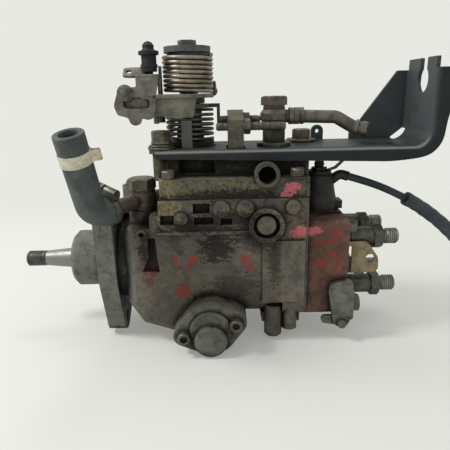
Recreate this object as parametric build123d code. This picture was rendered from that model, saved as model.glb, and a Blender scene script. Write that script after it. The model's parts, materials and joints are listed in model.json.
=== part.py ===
import math
import os

from build123d import *

# Sizes in millimetres. X runs along the drive shaft towards the outlets, Z is up and the
# origin is the centre of the mounting face.

# clearances
runningFit = 0.05
pieceGap = 0.3
seatGap = 0.02

# drive shaft
shaftTipX = -69.3
threadEndX = -52.8
taperEndX = -29.0
shaftThreadR = 6.0
taperSmallR = 6.3
taperLargeR = 8.5
journalR = 10.0
shaftShoulderX = 60.5
shaftEndX = 63.5
clawEndX = 89.0
clawInner = 6.5
clawOuter = 14.5
clawHalfWidth = 6.0
keyWidth = 4.0
keyLength = 13.0
keyHeight = 5.0
keyCentreX = -41.5

# mounting flange and nose
pilotR = 23.0
pilotFrontX = -27.0
pilotChamfer = 3.0
flangeThickness = 14.0
lobeCircleR = 49.0
lobeR = 11.0
lobeAngles = (130.0, 250.0, 10.0)
flangeHubR = 41.0
mountHoleR = 4.5

# bearing and seal
bushR = 12.5
bushStartX = -16.0
bushEndX = 22.0
sealR = 16.0
sealStartX = -26.0
sealEndX = -19.0
sealLipR = journalR + pieceGap

# housing body
neckR = 33.0
bellStartX = 21.0
bellR = 41.5
bodyStartX = 42.0
bodyEndX = 159.0
bodyHalfWidth = 42.0
bodyBottomZ = -42.0
bodyCornerR = 30.0
bodyEndCornerR = 20.0
bodyEndBlockX = bodyEndX - 18.0
coverJointZ = 57.0
pumpBoreR = 31.0
pumpBoreX = 24.0
cavityR = 32.5
cavityX = 46.0
chamberHalfWidth = 27.0
chamberStartX = 52.7
chamberEndX = bodyEndX - 9.0

# advance device under the body
timingX = 85.0
timingZ = -45.5
timingBoreR = 10.0
timingHalfLength = 53.0
timingDomeR = 13.0
timingDomeZ = -47.0
timingLeftScrew = (65.0, -44.0)
timingRightScrew = (104.2, -34.0)
timingEarR = 8.2
timingTopZ = -39.0
timingTopR = 20.5
timingCoverThickness = 5.0
timingDomeHeight = 6.5
pistonStart = -30.0
pistonEnd = 24.0
pistonSpringEnd = timingHalfLength - 3.0
floorZ = -60.0
footHalfWidth = 9.0

# ports on the near side
plugPortX = 128.0
plugPortZ = 37.6
plugPortBossR = 13.0
plugPortBoreR = 9.8
plugR = 7.3
plugPortFaceY = -46.0
openPortX = 128.6
openPortZ = 74.0
openPortBossR = 9.2
openPortR = 6.5
openPortFaceY = -41.0
padStartX = 125.0
padEndX = bodyEndX - 1.7
padBottomZ = -24.7
padTopZ = 25.0
padHeight = 1.2
roundBosses = (
    (95.0, 50.4, 6.2),
    (112.4, 50.6, 6.2),
    (bodyEndX - 11.5, 51.0, 5.4),
    (65.7, 43.9, 4.6),
)
sidePockets = (
    (74.3, 86.7, 47.0, 54.5),
    (50.0, 60.0, 38.8, 46.0),
    (74.8, 89.2, 38.4, 44.2),
    (94.0, 103.0, 38.2, 43.0),
)

# governor cover
coverStartX = 49.0
coverEndX = bodyEndX + 2.5
coverLedgeZ = 72.0
coverCornerR = 10.0
coverWindowY = -20.0
coverTopZ = 86.0
coverHalfWidth = 40.0
coverUpperNearY = -28.0
coverUpperFarY = 32.0
coverWall = 3.7
gasketThickness = 0.8
coverScrewX = (57.0, coverEndX - 10.5)
coverScrewY = 34.0

# vertical lever axis
leverX = 72.0
leverShaftR = 4.5
leverBossR = 18.8
leverBossTopR = 18.4
leverBossShoulderZ = 96.0
leverNeckR = 10.6
leverNeckTopZ = 106.0

# vane pump
linerEndX = 40.0
linerInnerR = 25.0
linerOffset = 1.5
rotorR = 22.0
vaneReach = 1.2
vaneThickness = 3.0
plateEndX = 44.0

# gears
gearModule = 1.5
driveTeeth = 40
governorTeeth = 28
gearStartX = 53.1
gearEndX = 58.6
governorZ = gearModule * (driveTeeth + governorTeeth) / 2

# governor
governorShaftR = 4.0
governorShaftStartX = 35.0
governorShaftEndX = 104.0
cageR = 13.0
cageEndX = 84.0
sleeveR = 6.3
sleeveEndX = 112.0
leverPivotX = 123.0
leverPivotZ = 26.0
leverPivotR = 3.0
leverTopZ = 73.0
leverThickness = 4.0
spoolPinDrop = 17.0

# roller ring, rollers and cam plate
ringStartX = 74.0
ringEndX = 90.0
ringInnerR = 18.0
rollerR = 6.0
rollerX = 87.0
rollerInner = 21.5
rollerOuter = 29.5
trunnionR = 1.8
rollerCount = 4
timingPinR = 3.0
camLift = 2.2
camBaseX = rollerX + rollerR + 0.2 + camLift
camPlateThickness = 6.6
camPlateR = 30.0
camClawStartX = 76.0
camHubR = 9.0
camHubLength = 3.0

# plunger, its springs and the control spool
plungerR = 5.5
bridgeGap = 0.3
bridgeThickness = 3.0
bridgeHalfLength = 29.0
bridgeHalfWidth = 7.0
plungerSpringY = 20.0
plungerSpringR = 7.6
plungerWireR = 1.2
spoolStartX = 118.0
spoolEndX = 128.0
spoolR = 10.0

# distributor head
headThickness = 32.0
headEndX = bodyEndX + headThickness
headHalf = 38.0
headCorner = 4.0
headPilotStartX = chamberEndX
headPilotR = cavityR - 0.1
barrelR = 11.0
barrelStartX = headPilotStartX - 2.0
outletOffset = 20.0
holderR = 7.0
holderBodyR = 7.6
holderStartX = headEndX - 11.0
holderHexStartX = headEndX + 22.0
holderHexEndX = holderHexStartX + 8.0
holderHexFlat = 17.0
outletThreadR = 6.0
outletEndX = holderHexEndX + 12.3
valveR = 3.9
valveSeatX = headEndX + 5.0
valveStartX = valveSeatX - 13.5
valveLift = 1.6
valveSpringEndX = valveSeatX + 14.0
headScrewOffset = 31.5
headScrewDepth = 12.0
headPlugFlat = 19.0
headPlugEndX = headEndX + 8.0
plungerEndX = headEndX - 5.0
zincBoltY = -18.5

# stop solenoid
solenoidX = bodyEndX + 15.0
solenoidTopZ = 70.0
solenoidBaseR = 14.6
solenoidBoreR = 5.0
solenoidPlungerR = 4.9

# fuel inlet
inletX = 34.4
inletY = -19.0
inletSeatZ = 46.5
inletBossR = 11.3
banjoR = 10.5
banjoHeight = 12.0
inletBoltR = 6.9
inletHexFlat = 19.0
inletHexHeight = 9.0
washerThickness = 1.5
pipeR = 5.8
hoseInnerR = 6.0
hoseOuterR = 10.0
hoseBendR = 15.0
hoseGrip = 5.8
hoseCorner = (8.0, -62.5, 52.6)
hoseMouth = (3.0, -80.0, 109.6)
hoseStartDistance = 33.0

# fuel return
returnX = 136.0
returnY = -12.0
returnSeatZ = 107.1
returnBossR = 8.4
returnBanjoR = 10.3
returnBanjoHeight = 10.0
returnHexFlat = 17.0
returnHexHeight = 6.6
returnPipeR = 4.8
returnBend = (182.6, -12.0, 112.2)
returnJoint = (195.0, -14.0, 104.9)
returnMouth = (205.0, -18.4, 102.9)

# adjusting screws
plateNearY = -23.0
lugStartX = 101.0
lugEndX = 112.6
lugNearY = -29.0
lugFarY = -6.0
lugTopZ = 119.0
screwR = 3.0
upperScrewY = -12.0
upperScrewZ = 111.8
lowerScrewY = -24.5
lowerScrewZ = 107.5

# M6 socket screws
screwShankR = 3.0
screwHeadR = 5.0
screwHeadHeight = 6.0
screwSocketFlat = 5.0
counterboreR = 5.6
coverScrewLength = 34.0
coverScrewEndZ = coverLedgeZ - coverScrewLength
timingScrewLength = 18.0
timingScrewEndY = timingHalfLength + timingCoverThickness - timingScrewLength - 2.0

# cable bracket
sheet = 3.0
webBottomZ = 89.0
webStartX = 48.0
webNearY = -33.0
webFarY = 26.0
lipLeftZ = 86.0
lipRightZ = 81.0
lipRightX = 215.0
bendR = 14.0
edgeR = 4.0
uprightX = 250.0
uprightTopZ = 153.0
uprightShoulderZ = uprightTopZ - 7.5
keyholeY = -7.5
keyholeZ = uprightTopZ - 15.5
keyholeR = 9.6
keyholeNeck = 6.0
prongNearY = -28.0
prongFarY = 20.0
reliefY = 16.0
sideFlangeReach = 16.0
sideFlangeRise = 36.0
sideFlangeCurve = [(-17.0, -9.8), (-1.0, -5.2), (5.3, 3.6), (6.8, 13.6), (9.5, 26.0)]
nearBolt = (51.5, -21.0)
farBolt = (coverEndX - 0.5, 13.0)

# solenoid lead
leadR = 3.0
sleeveOuterR = 5.8
pointsBeforeSleeveCount = 3
sleevePointCount = 2
sleeveReach = 17.5
leadPoints = [
    (solenoidX + 22.0, -5.0, 65.5),
    (solenoidX + 37.5, -4.0, 60.8),
    (solenoidX + 56.2, -2.5, 53.4),
    (solenoidX + 84.7, -0.5, 38.5),
    (solenoidX + 114.5, 1.0, 14.9),
    (solenoidX + 137.0, -1.5, -14.0),
    (solenoidX + 160.0, -10.0, -41.5),
    (solenoidX + 190.5, -21.5, -56.9),
    (solenoidX + 226.5, -32.0, -54.8),
]
glandFoot = (solenoidX + 7.0, -1.5, 60.0)


def side(axis, at):
    if axis == "X":
        return Plane(origin=(at, 0, 0), x_dir=(0, 1, 0), z_dir=(1, 0, 0))
    if axis == "Y":
        return Plane(origin=(0, at, 0), x_dir=(1, 0, 0), z_dir=(0, -1, 0))
    return Plane(origin=(0, 0, at), x_dir=(1, 0, 0), z_dir=(0, 0, 1))


def prism(axis, outline, start, end):
    base = end if axis == "Y" else start
    return extrude(side(axis, base) * outline, amount=end - start)


def rod(axis, radius, start, end, u=0.0, v=0.0):
    return prism(axis, Pos(u, v) * Circle(radius), start, end)


def pipe(axis, outer, inner, start, end, u=0.0, v=0.0):
    return prism(axis, Pos(u, v) * (Circle(outer) - Circle(inner)), start, end)


def hexagon(axis, flat, start, end, u=0.0, v=0.0, turn=0.0):
    shape = RegularPolygon(flat / 2, 6, major_radius=False, rotation=turn)
    return prism(axis, Pos(u, v) * shape, start, end)


def block(x0, x1, y0, y1, z0, z1):
    middle = ((x0 + x1) / 2, (y0 + y1) / 2, (z0 + z1) / 2)
    return Pos(*middle) * Box(x1 - x0, y1 - y0, z1 - z0)


def turned(axis, profile, u=0.0, v=0.0):
    face = make_face(Polyline(*profile, close=True))
    if axis == "X":
        plane = Plane(origin=(0, u, v), x_dir=(1, 0, 0), z_dir=(0, -1, 0))
        line = Axis((0, u, v), (1, 0, 0))
    elif axis == "Y":
        plane = Plane(origin=(u, 0, v), x_dir=(0, 1, 0), z_dir=(1, 0, 0))
        line = Axis((u, 0, v), (0, 1, 0))
    else:
        plane = Plane(origin=(u, v, 0), x_dir=(0, 0, 1), z_dir=(0, 1, 0))
        line = Axis((u, v, 0), (0, 0, 1))
    return revolve(plane * face, axis=line)


def hull(*circles):
    edges = []
    for x, y, radius in circles:
        edges += (Pos(x, y) * Circle(radius)).edges()
    return make_hull(edges)


def outline(*points):
    return make_face(Polyline(*points, close=True))


def straight(start, end, radius):
    run = Vector(*end) - Vector(*start)
    plane = Plane(origin=start, z_dir=run)
    return extrude(plane * Circle(radius), amount=run.length)


def along(start, end, distance):
    run = (Vector(*end) - Vector(*start)).normalized()
    return tuple(Vector(*start) + run * distance)


def coil(axis, radius, wire, start, end, turns, u=0.0, v=0.0):
    rise = end - start - 2 * wire
    path = Helix(pitch=rise / turns, height=rise, radius=radius)
    section = Plane(origin=path @ 0, z_dir=path % 0) * RegularPolygon(wire, 6)
    spring = sweep(section, path=path, is_frenet=True)
    places = {
        "X": Plane(origin=(start + wire, u, v), z_dir=(1, 0, 0)),
        "Y": Plane(origin=(u, start + wire, v), z_dir=(0, 1, 0)),
        "Z": Plane(origin=(u, v, start + wire), z_dir=(0, 0, 1)),
    }
    return places[axis].location * spring


def gear(teeth, bore, centreZ, firstTooth):
    pitch = 2 * math.pi / teeth
    rootR = gearModule * (teeth / 2 - 1.2)
    tipR = gearModule * (teeth / 2 + 0.9)
    points = []
    for tooth in range(teeth):
        middle = firstTooth + tooth * pitch
        for radius, share in ((rootR, -0.25), (tipR, -0.12), (tipR, 0.12), (rootR, 0.25)):
            angle = middle + share * pitch
            points.append((radius * math.cos(angle), radius * math.sin(angle)))
    profile = Pos(0, centreZ) * (outline(*points) - Circle(bore))
    return prism("X", profile, gearStartX, gearEndX)


def flangeOutline():
    circles = [(0, 0, flangeHubR)]
    for angle in lobeAngles:
        a = math.radians(angle)
        circles.append((lobeCircleR * math.cos(a), lobeCircleR * math.sin(a), lobeR))
    holes = Sketch()
    for x, y, radius in circles[1:]:
        holes += Pos(x, y) * Circle(mountHoleR)
    return hull(*circles) - holes


def timingOutline():
    body = hull(
        (*timingLeftScrew, timingEarR),
        (*timingRightScrew, timingEarR),
        (timingX, timingDomeZ, timingDomeR),
        (timingX, timingTopZ, timingTopR),
    )
    return body


def bodyBlock(cornerR, start, end):
    section = outline(
        (-bodyHalfWidth, coverJointZ),
        (-bodyHalfWidth, bodyBottomZ),
        (bodyHalfWidth, bodyBottomZ),
        (bodyHalfWidth, coverJointZ),
    )
    lower = section.vertices().sort_by(Axis.Y)[:2]
    return prism("X", fillet(lower, cornerR), start, end)


def bellShape():
    # the casting widens from the flange's neck into the body and the advance housing
    face = outline(
        (bellStartX + 3, 36),
        (bellStartX, 30),
        (bellStartX, -26),
        (31.5, -43.5),
        (57, -52),
        (72, -52),
        (72, 10),
        (bodyStartX + 8, 36),
    )
    bell = prism("Y", face, -bellR, bellR)
    rim = [edge for edge in bell.edges() if abs(abs(edge.center().Y) - bellR) < 0.01]
    outer = [edge for edge in rim if edge.center().X < 50 or edge.center().Z < -40]
    outer = [edge for edge in outer if edge.center().Z < 35]
    return chamfer(outer, 7)


def housingShape():
    nose = turned(
        "X",
        [
            (pilotFrontX, 0),
            (pilotFrontX, pilotR - pilotChamfer),
            (pilotFrontX + pilotChamfer, pilotR),
            (flangeThickness, pilotR),
            (flangeThickness, 0),
        ],
    )
    flange = prism("X", flangeOutline(), 0, flangeThickness)
    neck = rod("X", neckR, flangeThickness, bellStartX + 8)
    body = bodyBlock(bodyCornerR, bodyStartX, bodyEndBlockX)
    endBlock = bodyBlock(bodyEndCornerR, bodyEndBlockX, bodyEndX)
    advance = prism("Y", timingOutline(), -timingHalfLength, timingHalfLength)
    foot = block(
        timingX - footHalfWidth,
        timingX + footHalfWidth,
        -timingHalfLength,
        timingHalfLength,
        floorZ,
        timingZ,
    )
    shape = nose + flange + neck + bellShape() + body + endBlock + advance + foot
    for y in (-33.0, 33.0):
        shape += turned(
            "Z",
            [(-57, 0), (-57, 5.5), (-55.5, 7), (-30, 7), (-30, 0)],
            padStartX + 9.4,
            y,
        )
        shape += rod("Z", 6, -51, -30, padEndX - 10, y)
        shape += block(padStartX + 0.5, padEndX - 1.8, *sorted((y, y * 0.3)), -46, -38)
    shape += rod("Z", inletBossR, 20, inletSeatZ, inletX, inletY)
    wide = bodyHalfWidth + 1
    shape -= block(bodyStartX - 1, coverStartX, -wide, wide, 45.5, 60)
    shape += rod("X", 6, 41, coverStartX + 1, 0, governorZ)
    shape += rod("Z", 9, 25, 60, 22.5, 8) + rod("Z", 6, 50, 63, 22.5, 8)

    # near side: port bosses, name pad, ribs and round bosses
    shape += rod("Y", plugPortBossR, plugPortFaceY, -30, plugPortX, plugPortZ)
    shape += block(padStartX, padEndX, -bodyHalfWidth - padHeight, -30, padBottomZ, padTopZ)
    for x, z, radius in roundBosses:
        shape += rod("Y", radius, -bodyHalfWidth - 2, -30, x, z)
    shape += rod("Y", 4.0, -bodyHalfWidth - 0.5, -30, 35.4, 31.8)
    shape += block(46, 117, -bodyHalfWidth - 1.2, -30, 31.2, 33.4)

    # hollow inside
    shape -= rod("X", bushR, bushStartX - 5, pumpBoreX + 1)
    shape -= rod("X", sealR, pilotFrontX - 1, sealEndX)
    shape -= rod("X", pumpBoreR, pumpBoreX, cavityX + 1)
    shape -= rod("X", cavityR, cavityX, bodyEndX + 1)
    shape -= block(
        chamberStartX,
        chamberEndX,
        -chamberHalfWidth,
        chamberHalfWidth,
        0,
        coverJointZ + 1,
    )
    shape -= rod("Y", timingBoreR, -timingHalfLength - 1, timingHalfLength + 1, timingX, timingZ)
    shape -= block(timingX - 6.5, timingX + 6.5, -13, 7, timingZ, -25)
    shape -= rod("X", governorShaftR + seatGap, 30, chamberStartX + 1, 0, governorZ)
    shape -= rod("Y", leverPivotR + runningFit, -33.5, 33.5, leverPivotX, leverPivotZ)
    for x in coverScrewX:
        for y in (-coverScrewY, coverScrewY):
            shape -= rod("Z", screwShankR + seatGap, coverScrewEndZ - 2, coverJointZ + 1, x, y)
    for y in (-headScrewOffset, headScrewOffset):
        for z in (-headScrewOffset, headScrewOffset):
            shape -= rod("X", screwShankR + seatGap, bodyEndX - headScrewDepth - 2, bodyEndX + 1, y, z)
    for x, z in (timingLeftScrew, timingRightScrew):
        for out in (-1, 1):
            reach = sorted((out * (timingHalfLength + 1), out * timingScrewEndY))
            shape -= rod("Y", screwShankR + seatGap, *reach, x, z)
    shape -= rod("Y", plugPortBoreR, plugPortFaceY - 1, -41, plugPortX, plugPortZ)
    shape -= rod("Z", inletBoltR, inletSeatZ - 14, inletSeatZ + 1, inletX, inletY)
    for x0, x1, z0, z1 in sidePockets:
        shape -= block(x0, x1, -bodyHalfWidth - 1, -bodyHalfWidth + 4, z0, z1)
    shape -= rod("Y", 2.0, -bodyHalfWidth - 1, -bodyHalfWidth + 3, 35.4, 31.8)
    recess = outline((39.5, 29), (45.5, 29), (46, 16), (47.4, 2), (34.4, 2), (39.5, 14))
    return shape - prism("Y", recess, -bodyHalfWidth - 1, -bodyHalfWidth + 6)


def coverShape():
    lowerBottomZ = coverJointZ + gasketThickness
    lower = block(
        coverStartX, coverEndX - 2, -coverHalfWidth, coverHalfWidth, lowerBottomZ, coverLedgeZ
    )
    corner = lower.edges().filter_by(Axis.Z).sort_by_distance((coverStartX, -coverHalfWidth, coverLedgeZ))
    lower = fillet(corner[0], coverCornerR)
    upper = block(
        coverStartX + 2,
        coverEndX,
        coverUpperNearY,
        coverUpperFarY,
        coverLedgeZ - 4,
        coverTopZ,
    )
    upper = fillet(upper.edges().filter_by(Axis.Z), 6)
    upper = chamfer(upper.faces().sort_by(Axis.Z)[-1].edges(), 2)
    shape = lower + upper
    shape += turned(
        "Z",
        [
            (coverLedgeZ, 0),
            (coverLedgeZ, leverBossR),
            (leverBossShoulderZ, leverBossTopR),
            (leverBossShoulderZ, leverNeckR),
            (leverNeckTopZ, leverNeckR),
            (leverNeckTopZ, 0),
        ],
        leverX,
    )
    shape += rod("Y", openPortBossR, openPortFaceY, coverUpperNearY + 2, openPortX, openPortZ)
    shape += rod("Z", returnBossR, coverLedgeZ, returnSeatZ, returnX, returnY)
    lug = outline(
        (lugNearY, coverTopZ - 3),
        (lugFarY, coverTopZ - 3),
        (lugFarY, lugTopZ - 6),
        (lugFarY - 1.8, lugTopZ - 1.8),
        (lugFarY - 6, lugTopZ),
        (upperScrewY - 4, lugTopZ),
        (upperScrewY - 9, lugTopZ - 2),
        (lugNearY, lowerScrewZ + 5),
    )
    shape += prism("X", lug, lugStartX, lugEndX)
    for x, y in (nearBolt, farBolt):
        shape += rod("Z", 7, coverLedgeZ - 3, webBottomZ, x, y)
    x, y = farBolt
    shape += block(x - 11, x + 3, y - 7, y + 7, coverLedgeZ + 4, coverTopZ)

    shape -= block(openPortX - 12, openPortX + 12, webNearY - 1, -29, 80.5, coverTopZ)
    shape -= block(64, 91, -29, coverWindowY, coverLedgeZ + 2, coverTopZ + 1)

    # hollow inside
    chamber = (coverStartX + coverWall, coverEndX - 11)
    shape -= block(*chamber, -chamberHalfWidth + 1.5, chamberHalfWidth - 1.5, lowerBottomZ - 1, 68.5)
    shape -= block(*chamber, coverWindowY + 4, chamberHalfWidth - 1.5, 68, coverTopZ - 6)
    shape -= rod("Z", leverShaftR + runningFit, coverTopZ - 8, leverNeckTopZ + 1, leverX)
    shape -= rod("Y", openPortR, openPortFaceY - 1, -chamberHalfWidth + 3, openPortX, openPortZ)
    shape -= rod("Z", 5 + seatGap, 88, returnSeatZ + 1, returnX, returnY)
    shape -= rod("Z", 1.5, coverTopZ - 8, 90, returnX, returnY)
    shape -= rod("X", screwR + seatGap, lugStartX - 1, lugEndX + 1, upperScrewY, upperScrewZ)
    shape -= rod("X", screwR + seatGap, lugStartX - 1, lugEndX + 1, lowerScrewY, lowerScrewZ)
    for x in coverScrewX:
        for y in (-coverScrewY, coverScrewY):
            shape -= rod("Z", screwShankR + seatGap, lowerBottomZ - 1, coverLedgeZ, x, y)
            shape -= rod("Z", counterboreR, coverLedgeZ, coverTopZ + 3, x, y)
    for x, y in (nearBolt, farBolt):
        shape -= rod("Z", 4 + seatGap, coverTopZ - 7, webBottomZ + 1, x, y)
    shape -= rod("Z", 17, lowerBottomZ - 1, coverLedgeZ + 4.5, solenoidX, 0)
    return shape


def gasketShape():
    sheetBody = block(
        coverStartX,
        coverEndX - 3,
        -coverHalfWidth,
        coverHalfWidth,
        coverJointZ,
        coverJointZ + gasketThickness,
    )
    sheetBody -= block(
        chamberStartX,
        chamberEndX,
        -chamberHalfWidth,
        chamberHalfWidth,
        coverJointZ - 1,
        coverJointZ + 2,
    )
    for x in coverScrewX:
        for y in (-coverScrewY, coverScrewY):
            sheetBody -= rod("Z", 3.2, coverJointZ - 1, coverJointZ + 2, x, y)
    return sheetBody


def socketScrew(axis, u, v, seat, length, out):
    # out is +1 where the head points along the axis and -1 where it points back
    head = sorted((seat, seat + out * screwHeadHeight))
    shank = sorted((seat, seat - out * length))
    recess = sorted((seat + out * screwHeadHeight / 2, seat + out * (screwHeadHeight + 1)))
    screw = rod(axis, screwHeadR, *head, u, v) + rod(axis, screwShankR, *shank, u, v)
    return screw - hexagon(axis, screwSocketFlat, *recess, u, v)


def socketScrews():
    screws = []
    for x in coverScrewX:
        for y in (-coverScrewY, coverScrewY):
            screws.append(socketScrew("Z", x, y, coverLedgeZ, coverScrewLength, 1))
    for y, z in (
        (-headScrewOffset, headScrewOffset),
        (headScrewOffset, headScrewOffset),
        (headScrewOffset, -headScrewOffset),
    ):
        screws.append(socketScrew("X", y, z, headEndX, headThickness + headScrewDepth, 1))
    for x, z in (timingLeftScrew, timingRightScrew):
        near = timingHalfLength + timingCoverThickness
        screws.append(socketScrew("Y", x, z, -near, timingScrewLength, -1))
        screws.append(socketScrew("Y", x, z, near, timingScrewLength, 1))
    return Compound(screws)


def timingCovers():
    covers = []
    for out in (-1, 1):
        face = out * timingHalfLength
        back = out * (timingHalfLength + timingCoverThickness)
        dome = out * (timingHalfLength + timingCoverThickness + timingDomeHeight)
        plate = prism("Y", timingOutline(), *sorted((face, back)))
        plate -= block(20, 150, -70, 70, -80, floorZ + 0.5)
        plate += turned(
            "Y",
            [
                (back - out, 0),
                (back - out, timingDomeR),
                (dome - out * 1.5, timingDomeR - 0.6),
                (dome, timingDomeR - 2.2),
                (dome, 0),
            ],
            timingX,
            timingDomeZ + 0.5,
        )
        plate += prism(
            "Y",
            hull((timingX, timingTopZ, timingTopR - 5), (timingX, timingDomeZ, timingDomeR - 1)),
            *sorted((back - out, back + out * 2.0)),
        )
        plate -= rod("Y", 7, *sorted((face - out, back - out)), timingX, timingZ)
        for x, z in (timingLeftScrew, timingRightScrew):
            plate -= rod("Y", screwShankR + seatGap, *sorted((face - out, dome + out)), x, z)
            plate -= rod("Y", counterboreR, *sorted((back, dome + out)), x, z)
        covers.append(plate)
    return Compound(covers)


def timingPiston():
    piston = turned(
        "Y",
        [
            (pistonStart, 0),
            (pistonStart, timingBoreR - 1),
            (pistonStart + 1, timingBoreR - runningFit),
            (pistonEnd, timingBoreR - runningFit),
            (pistonEnd, 6.5),
            (pistonEnd - 9, 6.5),
            (pistonEnd - 9, 0),
        ],
        timingX,
        timingZ,
    )
    hole = turned(
        "Z",
        [
            (timingZ - 5, 0),
            (timingZ - 5, timingPinR + 0.15),
            (timingZ + 1.5, timingPinR + 0.15),
            (timingZ + timingBoreR + 1, timingPinR + 3.2),
            (timingZ + timingBoreR + 1, 0),
        ],
        timingX,
        0,
    )
    return piston - hole


def timingSpring():
    start = pistonEnd - 9 + 0.1
    return coil("Y", 4.9, 1.0, start, pistonSpringEnd + 3, 7, timingX, timingZ)


def driveShaft():
    shaft = turned(
        "X",
        [
            (shaftTipX, 0),
            (shaftTipX, shaftThreadR - 1),
            (shaftTipX + 1, shaftThreadR),
            (threadEndX - 1.5, shaftThreadR),
            (threadEndX, taperSmallR - 0.8),
            (threadEndX, taperSmallR),
            (taperEndX, taperLargeR),
            (taperEndX, journalR - 0.5),
            (taperEndX + 0.5, journalR),
            (shaftShoulderX, journalR),
            (shaftShoulderX, clawOuter + 1),
            (shaftEndX, clawOuter + 1),
            (shaftEndX, 0),
        ],
    )
    for near, far in ((clawInner, clawOuter), (-clawOuter, -clawInner)):
        shaft += block(shaftEndX - 1, clawEndX, near, far, -clawHalfWidth, clawHalfWidth)
    slot = block(
        keyCentreX - keyLength / 2,
        keyCentreX + keyLength / 2,
        -keyWidth / 2,
        keyWidth / 2,
        taperSmallR - 1.8,
        taperLargeR + 6,
    )
    centre = turned("X", [(shaftTipX - 1, 0), (shaftTipX - 1, 3), (shaftTipX + 4, 0)])
    rotorKey = block(26, 38, -1.5, 1.5, journalR - 1.5, journalR + 2)
    return shaft - Rot(-90, 0, 0) * slot - centre - rotorKey


def shaftKey():
    half = keyLength / 2
    blank = block(
        keyCentreX - half,
        keyCentreX + half,
        -keyWidth / 2,
        keyWidth / 2,
        taperSmallR - 1.8,
        taperSmallR - 1.8 + keyHeight,
    )
    return Rot(-90, 0, 0) * chamfer(blank.edges().filter_by(Axis.Y).sort_by(Axis.Z)[-2:], 1.5)


def shaftSeal():
    return turned(
        "X",
        [
            (sealStartX, sealR),
            (sealStartX, sealR - 5),
            (sealStartX + 2, sealLipR),
            (sealStartX + 5, sealLipR),
            (sealStartX + 3.5, sealR - 3),
            (sealEndX, sealR - 2),
            (sealEndX, sealR),
        ],
    )


def pumpLiner():
    ring = Circle(pumpBoreR - 0.05) - Pos(0, linerOffset) * Circle(linerInnerR)
    return prism("X", ring, pumpBoreX, linerEndX)


def pumpRotor():
    rotor = pipe("X", rotorR, journalR + seatGap, pumpBoreX + 0.2, linerEndX - 0.2)
    for angle in (0, 90, 180, 270):
        slot = block(pumpBoreX, linerEndX, -vaneThickness / 2, vaneThickness / 2, 14, 24)
        rotor -= Rot(45 + angle, 0, 0) * slot
    key = block(26, 38, -1.5 + seatGap, 1.5 - seatGap, journalR - 1.4, journalR + 2)
    return rotor + key


def pumpVanes():
    vanes = []
    half = vaneThickness / 2 - runningFit
    for angle in (0, 90, 180, 270):
        vane = block(
            pumpBoreX + 0.3, linerEndX - 0.3, -half, half, 14.5, rotorR + vaneReach
        )
        vanes.append(Rot(45 + angle, 0, 0) * vane)
    return Compound(vanes)


def pumpPlate():
    plate = pipe("X", pumpBoreR - 0.05, journalR + pieceGap, linerEndX, plateEndX)
    for angle in (30, 210):
        a = math.radians(angle)
        y = 28 * math.cos(a)
        z = 28 * math.sin(a)
        plate += rod("X", 2.4, plateEndX, plateEndX + 1.5, y, z)
    return plate


def driveGear():
    wheel = gear(driveTeeth, 18, 0, math.pi / 2)
    hub = pipe("X", 18.5, journalR + seatGap, gearStartX, gearEndX + 1.5)
    return wheel + hub


def rollerRing():
    ring = pipe("X", cavityR - pieceGap, ringInnerR, ringStartX, ringEndX)
    for index in range(rollerCount):
        turn = Rot(45 + 360 / rollerCount * index, 0, 0)
        pocket = rod("Z", rollerR + pieceGap, rollerInner - 0.2, rollerOuter + 0.2, rollerX)
        hole = rod("Z", trunnionR + runningFit, ringInnerR - 3, cavityR + 2, rollerX)
        ring -= turn * pocket
        ring -= turn * hole
    stem = rod("Z", timingPinR - 0.8, timingZ, -29, timingX)
    ball = Pos(timingX, 0, timingZ) * Sphere(timingPinR)
    return ring + stem + ball


def rollers():
    items = []
    for index in range(rollerCount):
        turn = Rot(45 + 360 / rollerCount * index, 0, 0)
        roller = rod("Z", rollerR, rollerInner, rollerOuter, rollerX)
        roller += rod("Z", trunnionR, ringInnerR + 0.3, cavityR - 0.7, rollerX)
        items.append(turn * roller)
    return Compound(items)


def camPlate():
    end = camBaseX + camPlateThickness
    plate = rod("X", camPlateR, camBaseX, end)
    plate += rod("X", camHubR, end, end + camHubLength)
    for index in range(rollerCount):
        lobe = Sketch()
        lobe += Circle(camPlateR) - Circle(19)
        u = 60 * math.cos(0.3)
        v = 60 * math.sin(0.3)
        wedge = outline((0, 0), (u, -v), (60, 0), (u, v))
        solid = prism("X", lobe & wedge, camBaseX - camLift, camBaseX)
        solid = chamfer(solid.faces().sort_by(Axis.X)[0].edges(), 0.8)
        plate += Rot(90 * index, 0, 0) * solid
    for near, far in ((clawInner, clawOuter), (-clawOuter, -clawInner)):
        plate += block(camClawStartX, camBaseX, -clawHalfWidth, clawHalfWidth, near, far)
    return plate - rod("X", plungerR + seatGap, camBaseX + 1, end + camHubLength + 1)


def plungerShape():
    start = camBaseX + 1.2
    plunger = turned(
        "X",
        [
            (start, 0),
            (start, plungerR),
            (plungerEndX - 0.5, plungerR),
            (plungerEndX, plungerR - 0.5),
            (plungerEndX, 0),
        ],
    )
    plunger -= rod("X", 1.2, 130, plungerEndX + 1)
    plunger -= rod("Y", 1.2, -8, 8, (spoolStartX + spoolEndX) / 2 + 8)
    for angle in range(0, 360, 90):
        groove = block(plungerEndX - 14, plungerEndX + 1, -1, 1, plungerR - 0.8, plungerR + 1)
        plunger -= Rot(angle, 0, 0) * groove
    return plunger


def springBridge():
    start = camBaseX + camPlateThickness + camHubLength + bridgeGap
    plate = hull((-bridgeHalfLength + 7, 0, bridgeHalfWidth), (bridgeHalfLength - 7, 0, bridgeHalfWidth))
    plate -= Circle(plungerR + pieceGap)
    bridge = prism("X", plate, start, start + bridgeThickness)
    for y in (-plungerSpringY, plungerSpringY):
        bridge += rod("X", 4.5, start + bridgeThickness, start + bridgeThickness + 8, y, 0)
    return bridge


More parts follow.
